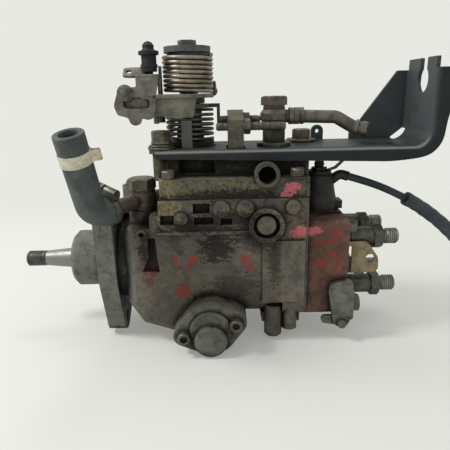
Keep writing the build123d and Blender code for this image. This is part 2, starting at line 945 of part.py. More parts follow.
def plungerSprings():
    start = camBaseX + camPlateThickness + camHubLength + bridgeGap + bridgeThickness
    springs = []
    for y in (-plungerSpringY, plungerSpringY):
        springs.append(
            coil("X", plungerSpringR, plungerWireR, start + 0.1, headPilotStartX - 0.1, 5.5, y, 0)
        )
    return Compound(springs)


def controlSpool():
    spool = pipe("X", spoolR, plungerR + runningFit, spoolStartX, spoolEndX)
    spool -= pipe("X", spoolR + 1, spoolR - 1, spoolStartX + 1.2, spoolStartX + 2.4)
    return spool - rod("Z", 2.2, plungerR + 0.9, spoolR + 1, leverPivotX)


def headShape():
    corners = RectangleRounded(2 * headHalf, 2 * headHalf, headCorner)
    head = prism("X", corners, bodyEndX, headEndX)
    head += turned(
        "X",
        [
            (headPilotStartX, 0),
            (headPilotStartX, headPilotR - 1),
            (headPilotStartX + 1, headPilotR),
            (headPilotStartX + 3, headPilotR),
            (headPilotStartX + 3, headPilotR - 1.6),
            (headPilotStartX + 5.4, headPilotR - 1.6),
            (headPilotStartX + 5.4, headPilotR),
            (bodyEndX + 1, headPilotR),
            (bodyEndX + 1, 0),
        ],
    )
    head += block(solenoidX - 15, solenoidX + 15, -16, 16, headHalf - 1, headHalf + 1.5)
    head -= rod("X", barrelR, barrelStartX, headEndX + 1)
    for y in (-outletOffset, outletOffset):
        for z in (-outletOffset, outletOffset):
            head -= rod("X", holderR + seatGap, holderStartX - 0.5, headEndX + 1, y, z)
            head -= rod("X", 1.2, bodyEndX + 7, holderStartX, y, z)
    for y in (-headScrewOffset, headScrewOffset):
        for z in (-headScrewOffset, headScrewOffset):
            head -= rod("X", screwShankR + seatGap, bodyEndX - 12, headEndX + 1, y, z)
    head -= rod("Z", 9, headHalf - 12, headHalf + 3, solenoidX)
    head -= rod("Z", 2.2, barrelR - 1, headHalf, solenoidX)
    for y in (-plungerSpringY, plungerSpringY):
        head -= rod("X", 0.8, headPilotStartX - 1, headPilotStartX + 2, y, 0)
    return head - rod("X", 2.6, headEndX - 12, headEndX + 1, zincBoltY, 1.0)


def barrelShape():
    barrel = pipe("X", barrelR - seatGap, plungerR + runningFit, barrelStartX, headEndX)
    for angle in range(45, 405, 90):
        port = rod("Z", 1.0, plungerR - 1, barrelR + 1, headEndX - 15)
        barrel -= Rot(angle, 0, 0) * port
    return barrel - rod("Z", 2.0, plungerR - 1, barrelR + 1, solenoidX)


def valveHolders():
    holders = []
    for y in (-outletOffset, outletOffset):
        for z in (-outletOffset, outletOffset):
            holder = turned(
                "X",
                [
                    (holderStartX, 0),
                    (holderStartX, holderR),
                    (headEndX, holderR),
                    (headEndX, holderBodyR),
                    (holderHexStartX, holderBodyR),
                    (holderHexEndX, holderBodyR),
                    (holderHexEndX, outletThreadR - 0.8),
                    (holderHexEndX + 1.6, outletThreadR - 0.8),
                    (holderHexEndX + 2.2, outletThreadR),
                    (outletEndX - 0.8, outletThreadR),
                    (outletEndX, outletThreadR - 0.8),
                    (outletEndX, 3.2),
                    (outletEndX - 3.4, 1.4),
                    (valveSpringEndX, 1.4),
                    (valveSpringEndX, 4.2),
                    (holderStartX, 4.2),
                ],
                y,
                z,
            )
            holder += hexagon("X", holderHexFlat, holderHexStartX, holderHexEndX, y, z) - rod(
                "X", holderBodyR - 1, holderHexStartX - 1, holderHexEndX + 1, y, z
            )
            holders.append(holder)
    return Compound(holders)


def deliveryValve(y, z):
    valve = turned(
        "X",
        [
            (valveStartX, 0),
            (valveStartX, valveR),
            (valveSeatX - 5, valveR),
            (valveSeatX - 4, valveR - 1),
            (valveSeatX, valveR - 1),
            (valveSeatX + 0.6, 2.2),
            (valveSeatX + 3, 2.2),
            (valveSeatX + 3, 0),
        ],
        y,
        z,
    )
    return valve


def deliverySprings():
    springs = []
    for y in (-outletOffset, outletOffset):
        for z in (-outletOffset, outletOffset):
            springs.append(
                coil("X", 3.2, 0.5, valveSeatX + valveLift, valveSpringEndX - 0.1, 4.5, y, z)
            )
    return Compound(springs)


def plugShapes():
    head = hexagon("X", headPlugFlat, headEndX, headPlugEndX - 3)
    head += rod("X", 6.5, headPlugEndX - 3.2, headPlugEndX)
    port = turned(
        "Y",
        [(-41, 0), (-41, plugR), (-44.4, plugR), (-45, plugR - 0.8), (-45, 0)],
        plugPortX,
        plugPortZ,
    )
    return Compound([head, port])


def solenoidShape():
    base = headHalf + 1.5
    body = turned(
        "Z",
        [
            (headHalf - 11, 0),
            (headHalf - 11, 9 - seatGap),
            (base, 9 - seatGap),
            (base, solenoidBaseR),
            (base + 8, solenoidBaseR),
            (base + 9.5, 14.0),
            (base + 15, 12.8),
            (base + 27, 11.2),
            (base + 28.5, 10.0),
            (solenoidTopZ, 9.4),
            (solenoidTopZ, 3.5),
            (solenoidTopZ + 4, 3.5),
            (solenoidTopZ + 4.6, 4.2),
            (solenoidTopZ + 7.4, 3.4),
            (solenoidTopZ + 8.0, 0),
        ],
        solenoidX,
    )
    body += block(solenoidX + 10, solenoidX + 18.5, -6, 6, base, base + 6.5)
    body += hexagon("Z", 11, solenoidTopZ, solenoidTopZ + 2.6, solenoidX)
    body -= rod("Z", solenoidBoreR, headHalf - 12, base + 18, solenoidX)
    blade = outline(
        (solenoidX + 5, solenoidTopZ + 0.6),
        (solenoidX + 12, solenoidTopZ + 3.0),
        (solenoidX + 19, solenoidTopZ + 9.4),
        (solenoidX + 19.6, solenoidTopZ + 8.6),
        (solenoidX + 12.6, solenoidTopZ + 1.8),
        (solenoidX + 5, solenoidTopZ - 0.6),
    )
    body += prism("Y", blade, -5.0, 0.0)
    elbow = along(*leadPoints[:2], -7)
    gland = FilletPolyline(glandFoot, elbow, leadPoints[0], radius=4)
    return body + sweepRound(gland, 3.8)


def solenoidPlunger():
    return turned(
        "Z",
        [
            (headHalf - 10, 0),
            (headHalf - 11, 1.6),
            (headHalf - 10, 2.4),
            (headHalf - 8, solenoidPlungerR),
            (headHalf + 8, solenoidPlungerR),
            (headHalf + 8, 0),
        ],
        solenoidX,
    )


def bendRadii(points):
    # each arc is as large as the shorter of its two runs allows
    radii = []
    for before, corner, after in zip(points, points[1:], points[2:]):
        first = Vector(*corner) - Vector(*before)
        second = Vector(*after) - Vector(*corner)
        half = math.radians(first.get_angle(second)) / 2
        radii.append(0.45 * min(first.length, second.length) / math.tan(half))
    return radii


def sweepRound(path, outer, inner=0.0):
    section = Circle(outer) - Circle(inner) if inner else Circle(outer)
    return sweep(Plane(origin=path @ 0, z_dir=path % 0) * section, path=path)


def leadShape():
    radii = bendRadii(leadPoints)
    print("lead bend radii", [round(radius, 1) for radius in radii])
    return sweepRound(FilletPolyline(*leadPoints, radius=radii), leadR)


def leadSleeve():
    first = pointsBeforeSleeveCount
    last = first + sleevePointCount - 1
    points = list(leadPoints[first : last + 1])
    points.insert(0, along(leadPoints[first], leadPoints[first - 1], sleeveReach))
    points.append(along(leadPoints[last], leadPoints[last + 1], sleeveReach))
    radii = bendRadii(leadPoints)[first - 1 : last]
    return sweepRound(FilletPolyline(*points, radius=radii), sleeveOuterR, leadR + 0.1)


def leadConnector():
    shell = block(0, 24, -6, 6, -5.0, 5.0)
    shell = chamfer(shell.edges().filter_by(Axis.X), 1.5)
    shell -= block(14, 25, -4.4, 4.4, -3.4, 3.4)
    collar = rod("X", 4.4, -5, 1)
    latch = block(4, 18, -2.5, 2.5, 4.8, 6.2)
    shape = shell + collar + latch - rod("X", leadR + 0.15, -6, 3.3)
    before, end = leadPoints[-2:]
    run = Vector(*end) - Vector(*before)
    level = Vector(-run.Y, run.X, 0)
    place = Plane(origin=along(end, before, 3), x_dir=run, z_dir=run.cross(level))
    return place.location * shape


def hoseDirection():
    centre = (inletX, inletY, inletSeatZ + washerThickness + banjoHeight / 2)
    return centre, hoseCorner


def inletFitting():
    base = inletSeatZ + washerThickness
    eye = turned(
        "Z",
        [
            (base, inletBoltR + 0.4),
            (base, banjoR - 0.8),
            (base + 2, banjoR),
            (base + banjoHeight - 2, banjoR),
            (base + banjoHeight, banjoR - 0.8),
            (base + banjoHeight, inletBoltR + 0.4),
        ],
        inletX,
        inletY,
    )
    centre, corner = hoseDirection()
    neck = straight(along(centre, corner, 9), along(centre, corner, 13.5), pipeR + 0.15)
    tubeEnd = hoseStartDistance + hoseGrip
    tube = straight(along(centre, corner, 9), along(centre, corner, tubeEnd), pipeR)
    bore = straight(along(centre, corner, 2), along(centre, corner, tubeEnd + 1), pipeR - 1.6)
    hole = rod("Z", inletBoltR + 0.4, base - 5, base + banjoHeight + 1, inletX, inletY)
    below = rod("Z", inletBossR + 1, base - 5, base, inletX, inletY)
    return eye + neck + tube - bore - hole - below


def banjoBolts():
    bolts = []
    inletTop = inletSeatZ + 2 * washerThickness + banjoHeight
    bolt = rod("Z", inletBoltR - 0.1, inletSeatZ - 13, inletTop, inletX, inletY)
    bolt += rod("Z", 10, inletTop, inletTop + 1.2, inletX, inletY)
    bolt += hexagon(
        "Z", inletHexFlat, inletTop + 1.2, inletTop + inletHexHeight, inletX, inletY, 30
    )
    bolt -= rod("Z", 3, inletSeatZ - 14, inletTop - 4, inletX, inletY)
    bolts.append(bolt)
    top = returnSeatZ + 2 * washerThickness + returnBanjoHeight
    bolt = rod("Z", 4.9, 90, top, returnX, returnY)
    bolt += rod("Z", 7.6, top, top + 1.6, returnX, returnY)
    bolt += hexagon("Z", returnHexFlat, top + 1.6, top + 1.6 + returnHexHeight, returnX, returnY, 30)
    bolt -= rod("Z", 2, 89, top - 4, returnX, returnY)
    bolts.append(bolt)
    return Compound(bolts)


def sealingWashers():
    washers = []
    places = (
        (inletX, inletY, inletSeatZ, inletBoltR + 0.1, 9.8, banjoHeight),
        (returnX, returnY, returnSeatZ, 5.1, 8.2, returnBanjoHeight),
    )
    for x, y, seat, inner, outer, height in places:
        for z in (seat, seat + washerThickness + height):
            washers.append(pipe("Z", outer, inner, z, z + washerThickness, x, y))
    return Compound(washers)


def inletHose():
    centre, corner = hoseDirection()
    start = along(centre, corner, hoseStartDistance)
    path = FilletPolyline(start, corner, hoseMouth, radius=hoseBendR)
    return sweepRound(path, hoseOuterR, hoseInnerR)


def hoseClamps():
    centre, corner = hoseDirection()
    band = straight(along(hoseMouth, corner, 12), along(hoseMouth, corner, 20), hoseOuterR + 0.7)
    band -= straight(along(hoseMouth, corner, 11), along(hoseMouth, corner, 21), hoseOuterR)
    plane = Plane(
        origin=along(hoseMouth, corner, 16),
        x_dir=(1, 0, 0.45),
        z_dir=Vector(*hoseMouth) - Vector(*corner),
    )
    ear = plane.location * (Pos(hoseOuterR + 3.4, 0, 0) * Box(6, 3, 8))
    start = along(centre, corner, hoseStartDistance + 0.2)
    end = along(centre, corner, hoseStartDistance + hoseGrip)
    clip = straight(start, end, hoseOuterR + 0.8)
    middle = (Vector(*start) + Vector(*end)) / 2
    run = (Vector(*corner) - Vector(*centre)).normalized()
    across = run.cross(Vector(0.25, -0.1, 1)).normalized()
    outward = across.cross(run).normalized()
    place = Plane(origin=tuple(middle + outward * (hoseOuterR + 3.6)), x_dir=run, z_dir=across)
    worm = Cylinder(3.4, 13) + Pos(0, 0, 6) * extrude(RegularPolygon(4, 6, major_radius=False), 6)
    saddle = Pos(0, -1.5, -0.5) * Box(6, 5, 10)
    clip += place.location * (worm + saddle)
    clip -= straight(along(centre, corner, 25), along(centre, corner, 47), hoseOuterR)
    return Compound([band + ear, clip])


def returnFitting():
    base = returnSeatZ + washerThickness
    middle = base + returnBanjoHeight / 2
    eye = turned(
        "Z",
        [
            (base, 5.3),
            (base, returnBanjoR - 2),
            (base + 2.5, returnBanjoR),
            (base + returnBanjoHeight - 2.5, returnBanjoR),
            (base + returnBanjoHeight, returnBanjoR - 2),
            (base + returnBanjoHeight, 5.3),
        ],
        returnX,
        returnY,
    )
    start = (returnX + 8, returnY, middle)
    joint = returnJoint
    mouth = returnMouth
    tube = sweepRound(FilletPolyline(start, returnBend, joint, mouth, radius=7), returnPipeR, 2.4)
    collar = pipe("X", 6.2, returnPipeR - 1, returnX + 11, 158, returnY, middle)
    collar -= pipe("X", 7, 5.7, 150, 151, returnY, middle)
    collar -= pipe("X", 7, 5.7, 154.5, 155.5, returnY, middle)
    bead = straight(along(joint, mouth, 2), along(joint, mouth, 4.5), returnPipeR + 1.1)
    end = straight(along(mouth, joint, 4), mouth, returnPipeR + 0.7)
    bead += end
    passage = straight(along(joint, mouth, 1), along(mouth, joint, -1), 2.4)
    return eye + tube + collar + (bead - passage) - rod("Z", 5.3, base - 1, base + 12, returnX, returnY)


def governorShaft():
    shaft = rod("X", governorShaftR, governorShaftStartX, governorShaftEndX, 0, governorZ)
    nut = hexagon("X", 10, governorShaftStartX + 1, 40, 0, governorZ)
    return shaft + nut


def governorCage():
    half = math.pi / governorTeeth
    wheel = gear(governorTeeth, governorShaftR + runningFit, governorZ, -math.pi / 2 + half)
    cage = pipe("X", cageR, 8.6, gearEndX + 3, cageEndX, 0, governorZ)
    cage += pipe("X", cageR, governorShaftR + runningFit, gearEndX - 0.5, gearEndX + 4, 0, governorZ)
    for angle in (0, 90, 180, 270):
        window = block(gearEndX + 5, cageEndX - 3, -6.2, 6.2, 7, cageR + 1)
        cage -= Pos(0, 0, governorZ) * Rot(angle, 0, 0) * window
    return wheel + cage


def governorWeights():
    weights = []
    for angle in (0, 90, 180, 270):
        weight = block(gearEndX + 6, cageEndX - 3.3, -5.9, 5.9, 8.7, cageR - 0.3)
        weight -= block(gearEndX + 12, cageEndX, -7, 7, 8, 9.8)
        weights.append(Pos(0, 0, governorZ) * Rot(angle, 0, 0) * weight)
    return Compound(weights)


def governorSleeve():
    inner = governorShaftR + runningFit
    start = gearEndX + 4.6
    profile = [
        (start, inner),
        (start, 8.0),
        (start + 2.5, 8.0),
        (start + 2.5, sleeveR),
        (sleeveEndX - 6, sleeveR),
    ]
    for step in range(0, 7):
        angle = math.pi / 2 * step / 6
        profile.append((sleeveEndX - 5 + 5 * math.sin(angle), 5 * math.cos(angle)))
    profile += [(sleeveEndX - 6.5, 0), (sleeveEndX - 6.5, inner)]
    return turned("X", profile, 0, governorZ)


def governorLever():
    left = sleeveEndX + pieceGap
    profile = outline(
        (left, governorZ - 8),
        (left, leverTopZ),
        (left + leverThickness, leverTopZ),
        (left + leverThickness, governorZ - 8),
        (leverPivotX + 5, leverPivotZ + 3),
        (leverPivotX + 5, leverPivotZ - 5),
        (leverPivotX + 3, leverPivotZ - 13),
        (leverPivotX - 3, leverPivotZ - 13),
        (leverPivotX - 5, leverPivotZ - 5),
        (leverPivotX - 5, leverPivotZ + 3),
    )
    lever = prism("Y", profile, -4.5, 4.5)
    lever += rod("Y", 5, -24, 24, leverPivotX, leverPivotZ)
    lever += rod("Y", leverPivotR, -33, 33, leverPivotX, leverPivotZ)
    ballZ = leverPivotZ - spoolPinDrop
    lever += rod("Z", 1.3, ballZ, leverPivotZ - 12, leverPivotX)
    lever += Pos(leverPivotX, 0, ballZ) * Sphere(2.0)
    return lever - rod("X", 1.5, left - 1, left + leverThickness + 1, 0, leverTopZ - 4)


def throttleShaft():
    shaft = turned(
        "Z",
        [
            (73.9, 0),
            (73.9, 9),
            (77.5, 9),
            (77.5, leverShaftR),
            (166.5, leverShaftR),
            (167.5, leverShaftR - 1),
            (167.5, 0),
        ],
        leverX,
    )
    crank = prism("Z", hull((leverX, 0, 5), (leverX + 10, 0, 3.5)), 73.9, 77.5)
    return shaft + crank + rod("Z", 1.8, 66, 74.5, leverX + 10, 0)


def idleLever():
    hub = pipe("Z", 9.5, leverShaftR + pieceGap, leverNeckTopZ + pieceGap, 123.5, leverX)
    disc = pipe("Z", 15.5, leverShaftR + pieceGap, 120.6, 123.5, leverX)
    arm = prism("Z", hull((leverX, 0, 8), (51, 0, 4.5)), 120.6, 123.5)
    arm -= rod("Z", leverShaftR + pieceGap, 120, 124, leverX)
    drop = rod("Z", 3.0, 110, 122, 50, 0)
    hook = block(86, 95.5, 2, 6, 120.6, 123.5) + block(93, 95.5, 2, 6, 106, 123.5)
    return hub + disc + arm + drop + hook


def idleSpring():
    return coil("Z", 17.4, 1.2, leverBossShoulderZ + 0.3, 120.3, 6, leverX)


def throttleLever():
    hub = pipe("Z", 12, leverShaftR + seatGap, 124, 131, leverX)
    seat = pipe("Z", 19, leverShaftR + seatGap, 128, 131, leverX)
    plate = outline((38, plateNearY), (79, plateNearY), (84, -8), (72, 12), (50, 6), (38, -6))
    top = prism("Z", plate, 128, 131)
    top -= rod("Z", leverShaftR + seatGap, 127, 132, leverX)
    skirt = prism(
        "Y",
        outline((45, 131), (79, 131), (75.5, 114.5), (66, 113.6), (50.5, 115.8), (45, 116.5)),
        plateNearY + 1,
        plateNearY + sheet,
    )
    plate = outline(
        (36, 145),
        (53, 143.4),
        (50.5, 134),
        (47, 115.2),
        (44, 113.5),
        (39.7, 115.3),
        (38, 111.0),
        (34, 109.2),
        (30, 111.0),
        (28, 115.6),
        (21.3, 117.1),
        (18.9, 123.6),
        (24.5, 136.9),
        (36, 135.4),
    )
    slot = hull((28.5, 125.6, 4.2), (41, 125.4, 4.2))
    face = prism("Y", plate - slot, plateNearY, plateNearY + 2)
    shelf = prism("Z", outline((36, plateNearY), (53, plateNearY), (53, -5), (36, -5)), 142.5, 145)
    tab = prism(
        "Z", hull((31, -14, 4.6), (42, -14, 5.4)) - Pos(31, -14) * Circle(2.1), 145, 147
    )
    post = block(50.5, 53, -15, -8, 131, 143)
    leg = block(51, 53, -10, -6, 131, 151)
    ear = straight((84, 2, 129.5), (93.2, 2, 129.5), 1.5)
    ear += straight((93.2, 2, 129.5), (93.2, 2, 140.5), 1.5) + Pos(93.2, 2, 129.5) * Sphere(1.5)
    pin = rod("Z", 2, 110, 129, 48, -14)
    knob = hexagon("Y", 10, plateNearY - 3.6, plateNearY + 0.1, 28, 133)
    knob += rod("Y", 2.8, plateNearY - 5.5, plateNearY - 3, 28, 133)
    shape = hub + seat + top + skirt + face + shelf + tab + post + leg + ear + pin + knob
    return shape - rod("Z", 2.6 + seatGap, 140, 148, 45, -13)


def throttleSpring():
    return coil("Z", 17.7, 1.5, 131.1, 160.2, 8, leverX)


def springDrum():
    drum = turned(
        "Z",
        [
            (131.1, leverShaftR + seatGap),
            (131.1, 7),
            (154, 7),
            (154, 15.2),
            (160.3, 15.2),
            (160.3, 17.5),
            (164.5, 17.5),
            (164.5, leverShaftR + seatGap),
        ],
        leverX,
    )
    drum -= block(leverX + 13, leverX + 20, -3, 3, 160.3, 162.6)
    nut = hexagon("Z", 12, 164.5, 169, leverX) - rod("Z", leverShaftR + seatGap, 160, 167.6, leverX)
    return drum + nut


def ballStud():
    return turned(
        "Z",
        [
            (139.5, 0),
            (139.5, 3.4),
            (142.5, 3.4),
            (142.5, 2.6),
            (147, 2.6),
            (147, 5.6),
            (150, 5.6),
            (150, 6.2),
            (152, 6.2),
            (152, 5.4),
            (158, 5.4),
            (158.6, 7.3),
            (161, 7.3),
            (161.8, 4.6),
            (163, 4.0),
            (165, 4.2),
            (167, 2.6),
            (168, 0),
        ],
        45,
        -13,
    )


def adjustingScrews():
    screws = []
    for y, z, start, end in (
        (upperScrewY, upperScrewZ, 94.5, 125.5),
        (lowerScrewY, lowerScrewZ, 92.5, 143.2),
    ):
        screw = rod("X", screwR, start, end, y, z)
        screw += hexagon("X", 10, lugEndX, lugEndX + 5, y, z)
        screw -= block(end - 2.5, end + 1, y - 4, y + 4, z - 0.6, z + 0.6)
        screws.append(screw)
    return Compound(screws)


def cableBracket():
    top = webBottomZ + sheet
    back = uprightX - sheet
    path = outline(
        (nearBolt[0], webBottomZ),
        (uprightX, webBottomZ),
        (uprightX, uprightTopZ),
        (back, uprightTopZ),
        (back, top),
        (nearBolt[0], top),
    )
    strip = fillet(path.vertices().sort_by_distance((uprightX, webBottomZ))[0], bendR)
    strip = fillet(strip.vertices().sort_by_distance((back, top))[0], bendR - sheet)
    shape = prism("Y", strip, webNearY, webFarY)

    # near edge turned down under the web and outwards behind the upright
    sideX = uprightX + sideFlangeReach
    sideZ = top + sideFlangeRise
    curve = [(uprightX + x, top + z) for x, z in sideFlangeCurve]
    lower = Spline((lipRightX, lipRightZ), *curve, (sideX, sideZ), tangents=((1, 0), (0.7, 1)))
    edge = Polyline(
        (sideX, sideZ),
        (sideX, uprightShoulderZ),
        (back, uprightShoulderZ),
        (back, top),
        (webStartX, top),
        (webStartX, lipLeftZ),
        (lipRightX, lipRightZ),
    )
    lipFace = make_face(lower.edges() + edge.edges())
    corner = lipFace.vertices().sort_by_distance((back, top))[0]
    shape += prism("Y", fillet(corner, bendR - sheet), webNearY, webNearY + sheet)
    farLip = outline(
        (back, webBottomZ + 34),
        (uprightX + 9, webBottomZ + 38),
        (uprightX + 9, uprightShoulderZ),
        (back, uprightShoulderZ),
    )
    gusset = outline(
        (uprightX - 47, top - 1),
        (uprightX - 47, top + 5),
        (uprightX - 38.3, top + 15.6),
        (uprightX - 10.5, uprightShoulderZ),
        (uprightX - 0.5, uprightShoulderZ),
        (uprightX - 0.5, top - 1),
    )
    shape += prism("Y", farLip + gusset, webFarY - sheet, webFarY)
    relief = outline(
        (uprightX - 12.5, top - 12),
        (uprightX - 12.5, top + 1),
        (uprightX - 0.6, top + 10.5),
        (uprightX + 6, top + 10.5),
        (uprightX + 6, top - 12),
    )
    shape -= prism("Y", relief, reliefY, webFarY + 1)
    bend = [e for e in shape.edges().filter_by(Axis.X) if abs(e.center().Y - webNearY) < 0.01]
    bend = [e for e in bend if abs(e.center().Z - top) < 0.01]
    shape = fillet(bend, edgeR)

    # prongs and keyhole of the upright
    for start, end in ((webNearY - 1, prongNearY), (prongFarY, webFarY + 1)):
        shape -= block(back - 1, uprightX + 1, start, end, uprightShoulderZ, uprightTopZ + 1)
    keyhole = Pos(keyholeY, keyholeZ) * Circle(keyholeR)
    neck = Pos(keyholeY, (keyholeZ + uprightTopZ) / 2 + 1)
    keyhole += neck * Rectangle(2 * keyholeNeck, uprightTopZ - keyholeZ + 2)
    shape -= prism("X", keyhole, back - 1, uprightX + 1)

    # openings in the web for what stands on the cover, and its near end
    shape -= rod("Z", leverBossR + 1.2, webBottomZ - 1, top + 1, leverX)
    shape -= block(nearBolt[0] - 1, leverX + 14, -6, webFarY + 1, webBottomZ - 1, top + 1)
    shape -= block(lugStartX - 1.2, lugEndX + 1.2, lugNearY - 0.7, lugFarY + 1.2, webBottomZ - 1, top + 1)
    shape -= rod("Z", returnBossR + 2, webBottomZ - 1, top + 1, returnX, returnY)
    shape += rod("Z", 9.4, webBottomZ, top, *nearBolt) - block(0, nearBolt[0], -50, webNearY, 80, 100)
    for x, y in (nearBolt, farBolt):
        shape -= rod("Z", 4.3, webBottomZ - 1, top + 1, x, y)
    stop = block(67.4, 75, -26.6, -23.6, top - 1, 112.4)
    ear = Pos(176, 0) * Circle(5) + outline((171, 0), (181, 0), (181, -9), (171, -9))
    tag = prism("Y", Pos(0, 99) * (ear - Pos(176, 0) * Circle(1.6)), webFarY - sheet, webFarY)
    return shape + tag + stop


def hexBolts():
    bolts = []
    top = webBottomZ + sheet
    for place, washerR, stack in ((nearBolt, 10.2, 6.0), (farBolt, 12.0, 2.5)):
        bolt = rod("Z", 4, coverTopZ - 6, top, *place)
        bolt += rod("Z", washerR, top, top + 2.5, *place)
        bolt += rod("Z", washerR - 2, top, top + stack, *place)
        bolt += hexagon("Z", 12.9, top + stack, top + stack + 7.5, *place)
        bolts.append(bolt)
    bolts.append(pipe("Z", 13, returnBossR + 0.4, top, top + 3.2, returnX, returnY))
    bolt = rod("X", 3, headEndX - 38, headEndX + 5, -headScrewOffset, -headScrewOffset)
    bolt += rod("X", 8, headEndX + 5, headEndX + 6.5, -headScrewOffset, -headScrewOffset)
    bolt += hexagon("X", 12.5, headEndX + 6.4, headEndX + 11.5, -headScrewOffset, -headScrewOffset)
    bolts.append(bolt)
    bolt = rod("X", 2.5, headEndX - 11, headEndX + 2, zincBoltY, 1)
    bolt += hexagon("X", 8, headEndX + 2, headEndX + 6, zincBoltY, 1)
    bolts.append(bolt)
    return Compound(bolts)


def zincBracket():
    # the face is drawn from the end of the head outwards
    face = outline(
        (4.4, -6),
        (4.4, 15.5),
        (0, 15.5),
        (0, 19.3),
        (14.5, 19.3),
        (17, 17.5),
        (24.5, 7),
        (25.3, 3.5),
        (25, -1),
        (22.5, -6),
    )
    face -= Pos(18.7, 5.5) * Circle(3.4)
    plate = prism("Y", Pos(headEndX, 0) * face, -31.5, -29.5)
    plate += block(headEndX, headEndX + 2, -31.5, -28.4, -6, 19.3)
    foot = block(headEndX, headEndX + 2, -29, -12.5, -6, 8.5)
    foot -= rod("X", 2.6, headEndX - 1, headEndX + 3, zincBoltY, 1)
    return plate + foot


def rearBracket():
    near = -headHalf - 5
    far = -headHalf - seatGap
    end = headEndX
    side = hull((end - 7.8, -16.5, 7), (end - 0.5, -12.5, 4.5), (end - 4, -40.5, 6.7))
    ear = hull((end - 16.2, -41.5, 3.2), (end - 8, -42, 4))
    front = hull((-37, -20, 5), (-31.5, -31.5, 7), (-38, -38, 5))
    lug = prism("Y", side, near, far) + prism("Y", ear, -headHalf - 3, far)
    lug += prism("X", front, end + seatGap, end + 5)
    lug += block(end - 2.5, end + 5, near, far, -38, -16)
    lug += rod("Y", 3.4, near - 3, near + 1, end - 4, -43.5)
    hole = rod("X", screwShankR + seatGap, end - 3, end + 7, -headScrewOffset, -headScrewOffset)
    return lug - hole


pieces = {
    "housing": housingShape,
    "governor_cover": coverShape,
    "cover_gasket": gasketShape,
    "socket_screws": socketScrews,
    "timing_covers": timingCovers,
    "timing_piston": timingPiston,
    "timing_spring": timingSpring,
    "drive_shaft": driveShaft,
    "shaft_key": shaftKey,
    "shaft_seal": shaftSeal,
    "shaft_bush": lambda: pipe("X", bushR - seatGap, journalR + runningFit, bushStartX, bushEndX),
    "pump_liner": pumpLiner,
    "pump_rotor": pumpRotor,
    "pump_vanes": pumpVanes,
    "pump_plate": pumpPlate,
    "governor_drive_gear": driveGear,
    "roller_ring": rollerRing,
    "cam_rollers": rollers,
    "cam_plate": camPlate,
    "pump_plunger": plungerShape,
    "spring_bridge": springBridge,
    "plunger_springs": plungerSprings,
    "control_spool": controlSpool,
    "distributor_head": headShape,
    "head_barrel": barrelShape,
    "valve_holders": valveHolders,
    "delivery_valve_1": lambda: deliveryValve(-outletOffset, outletOffset),
    "delivery_valve_2": lambda: deliveryValve(-outletOffset, -outletOffset),
    "delivery_valve_3": lambda: deliveryValve(outletOffset, outletOffset),
    "delivery_valve_4": lambda: deliveryValve(outletOffset, -outletOffset),
    "delivery_springs": deliverySprings,
    "plugs": plugShapes,
    "stop_solenoid": solenoidShape,
    "solenoid_plunger": solenoidPlunger,
    "solenoid_lead": leadShape,
    "lead_sleeve": leadSleeve,
    "lead_connector": leadConnector,
    "inlet_fitting": inletFitting,
    "banjo_bolts": banjoBolts,
    "sealing_washers": sealingWashers,
    "inlet_hose": inletHose,
    "hose_clamps": hoseClamps,
    "return_fitting": returnFitting,
    "governor_shaft": governorShaft,
    "governor_cage": governorCage,
    "governor_weights": governorWeights,
    "governor_sleeve": governorSleeve,
    "governor_lever": governorLever,
    "throttle_shaft": throttleShaft,
    "throttle_lever": throttleLever,
    "throttle_spring": throttleSpring,
    "spring_drum": springDrum,
    "ball_stud": ballStud,
    "idle_lever": idleLever,
    "idle_spring": idleSpring,
    "adjusting_screws": adjustingScrews,
    "cable_bracket": cableBracket,
    "hex_bolts": hexBolts,
    "zinc_bracket": zincBracket,
    "rear_bracket": rearBracket,
}

os.makedirs("parts", exist_ok=True)
for name, make in pieces.items():
    export_step(make(), "parts/" + name + ".step")
    print("wrote", name)
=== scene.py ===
import json
import math

import bpy
import bmesh
from mathutils import Matrix, Vector

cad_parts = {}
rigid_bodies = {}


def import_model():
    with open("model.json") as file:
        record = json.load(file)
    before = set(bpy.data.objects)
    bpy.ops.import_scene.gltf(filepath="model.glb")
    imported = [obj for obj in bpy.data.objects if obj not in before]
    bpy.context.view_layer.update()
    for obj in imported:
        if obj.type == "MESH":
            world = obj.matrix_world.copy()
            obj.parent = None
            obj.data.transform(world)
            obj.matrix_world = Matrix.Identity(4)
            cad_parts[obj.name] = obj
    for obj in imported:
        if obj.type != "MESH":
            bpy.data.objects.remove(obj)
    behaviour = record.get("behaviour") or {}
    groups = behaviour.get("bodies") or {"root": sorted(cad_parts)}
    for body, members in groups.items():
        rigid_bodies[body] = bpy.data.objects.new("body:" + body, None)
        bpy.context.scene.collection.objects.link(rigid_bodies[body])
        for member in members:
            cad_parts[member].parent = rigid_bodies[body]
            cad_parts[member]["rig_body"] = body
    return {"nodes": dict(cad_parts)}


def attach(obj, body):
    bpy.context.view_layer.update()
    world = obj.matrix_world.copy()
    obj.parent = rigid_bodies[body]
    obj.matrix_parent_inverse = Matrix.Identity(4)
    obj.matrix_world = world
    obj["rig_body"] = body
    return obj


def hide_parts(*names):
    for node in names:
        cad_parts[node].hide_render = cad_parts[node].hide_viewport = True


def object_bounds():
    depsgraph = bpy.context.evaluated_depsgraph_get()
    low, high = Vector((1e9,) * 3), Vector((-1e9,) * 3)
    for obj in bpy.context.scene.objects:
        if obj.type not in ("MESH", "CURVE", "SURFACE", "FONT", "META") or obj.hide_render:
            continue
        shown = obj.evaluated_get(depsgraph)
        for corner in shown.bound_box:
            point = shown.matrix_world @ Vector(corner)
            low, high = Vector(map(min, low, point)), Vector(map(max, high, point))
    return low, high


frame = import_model()
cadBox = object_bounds()
mm = 0.001
print("frame loaded,", len(frame["nodes"]), "CAD nodes")


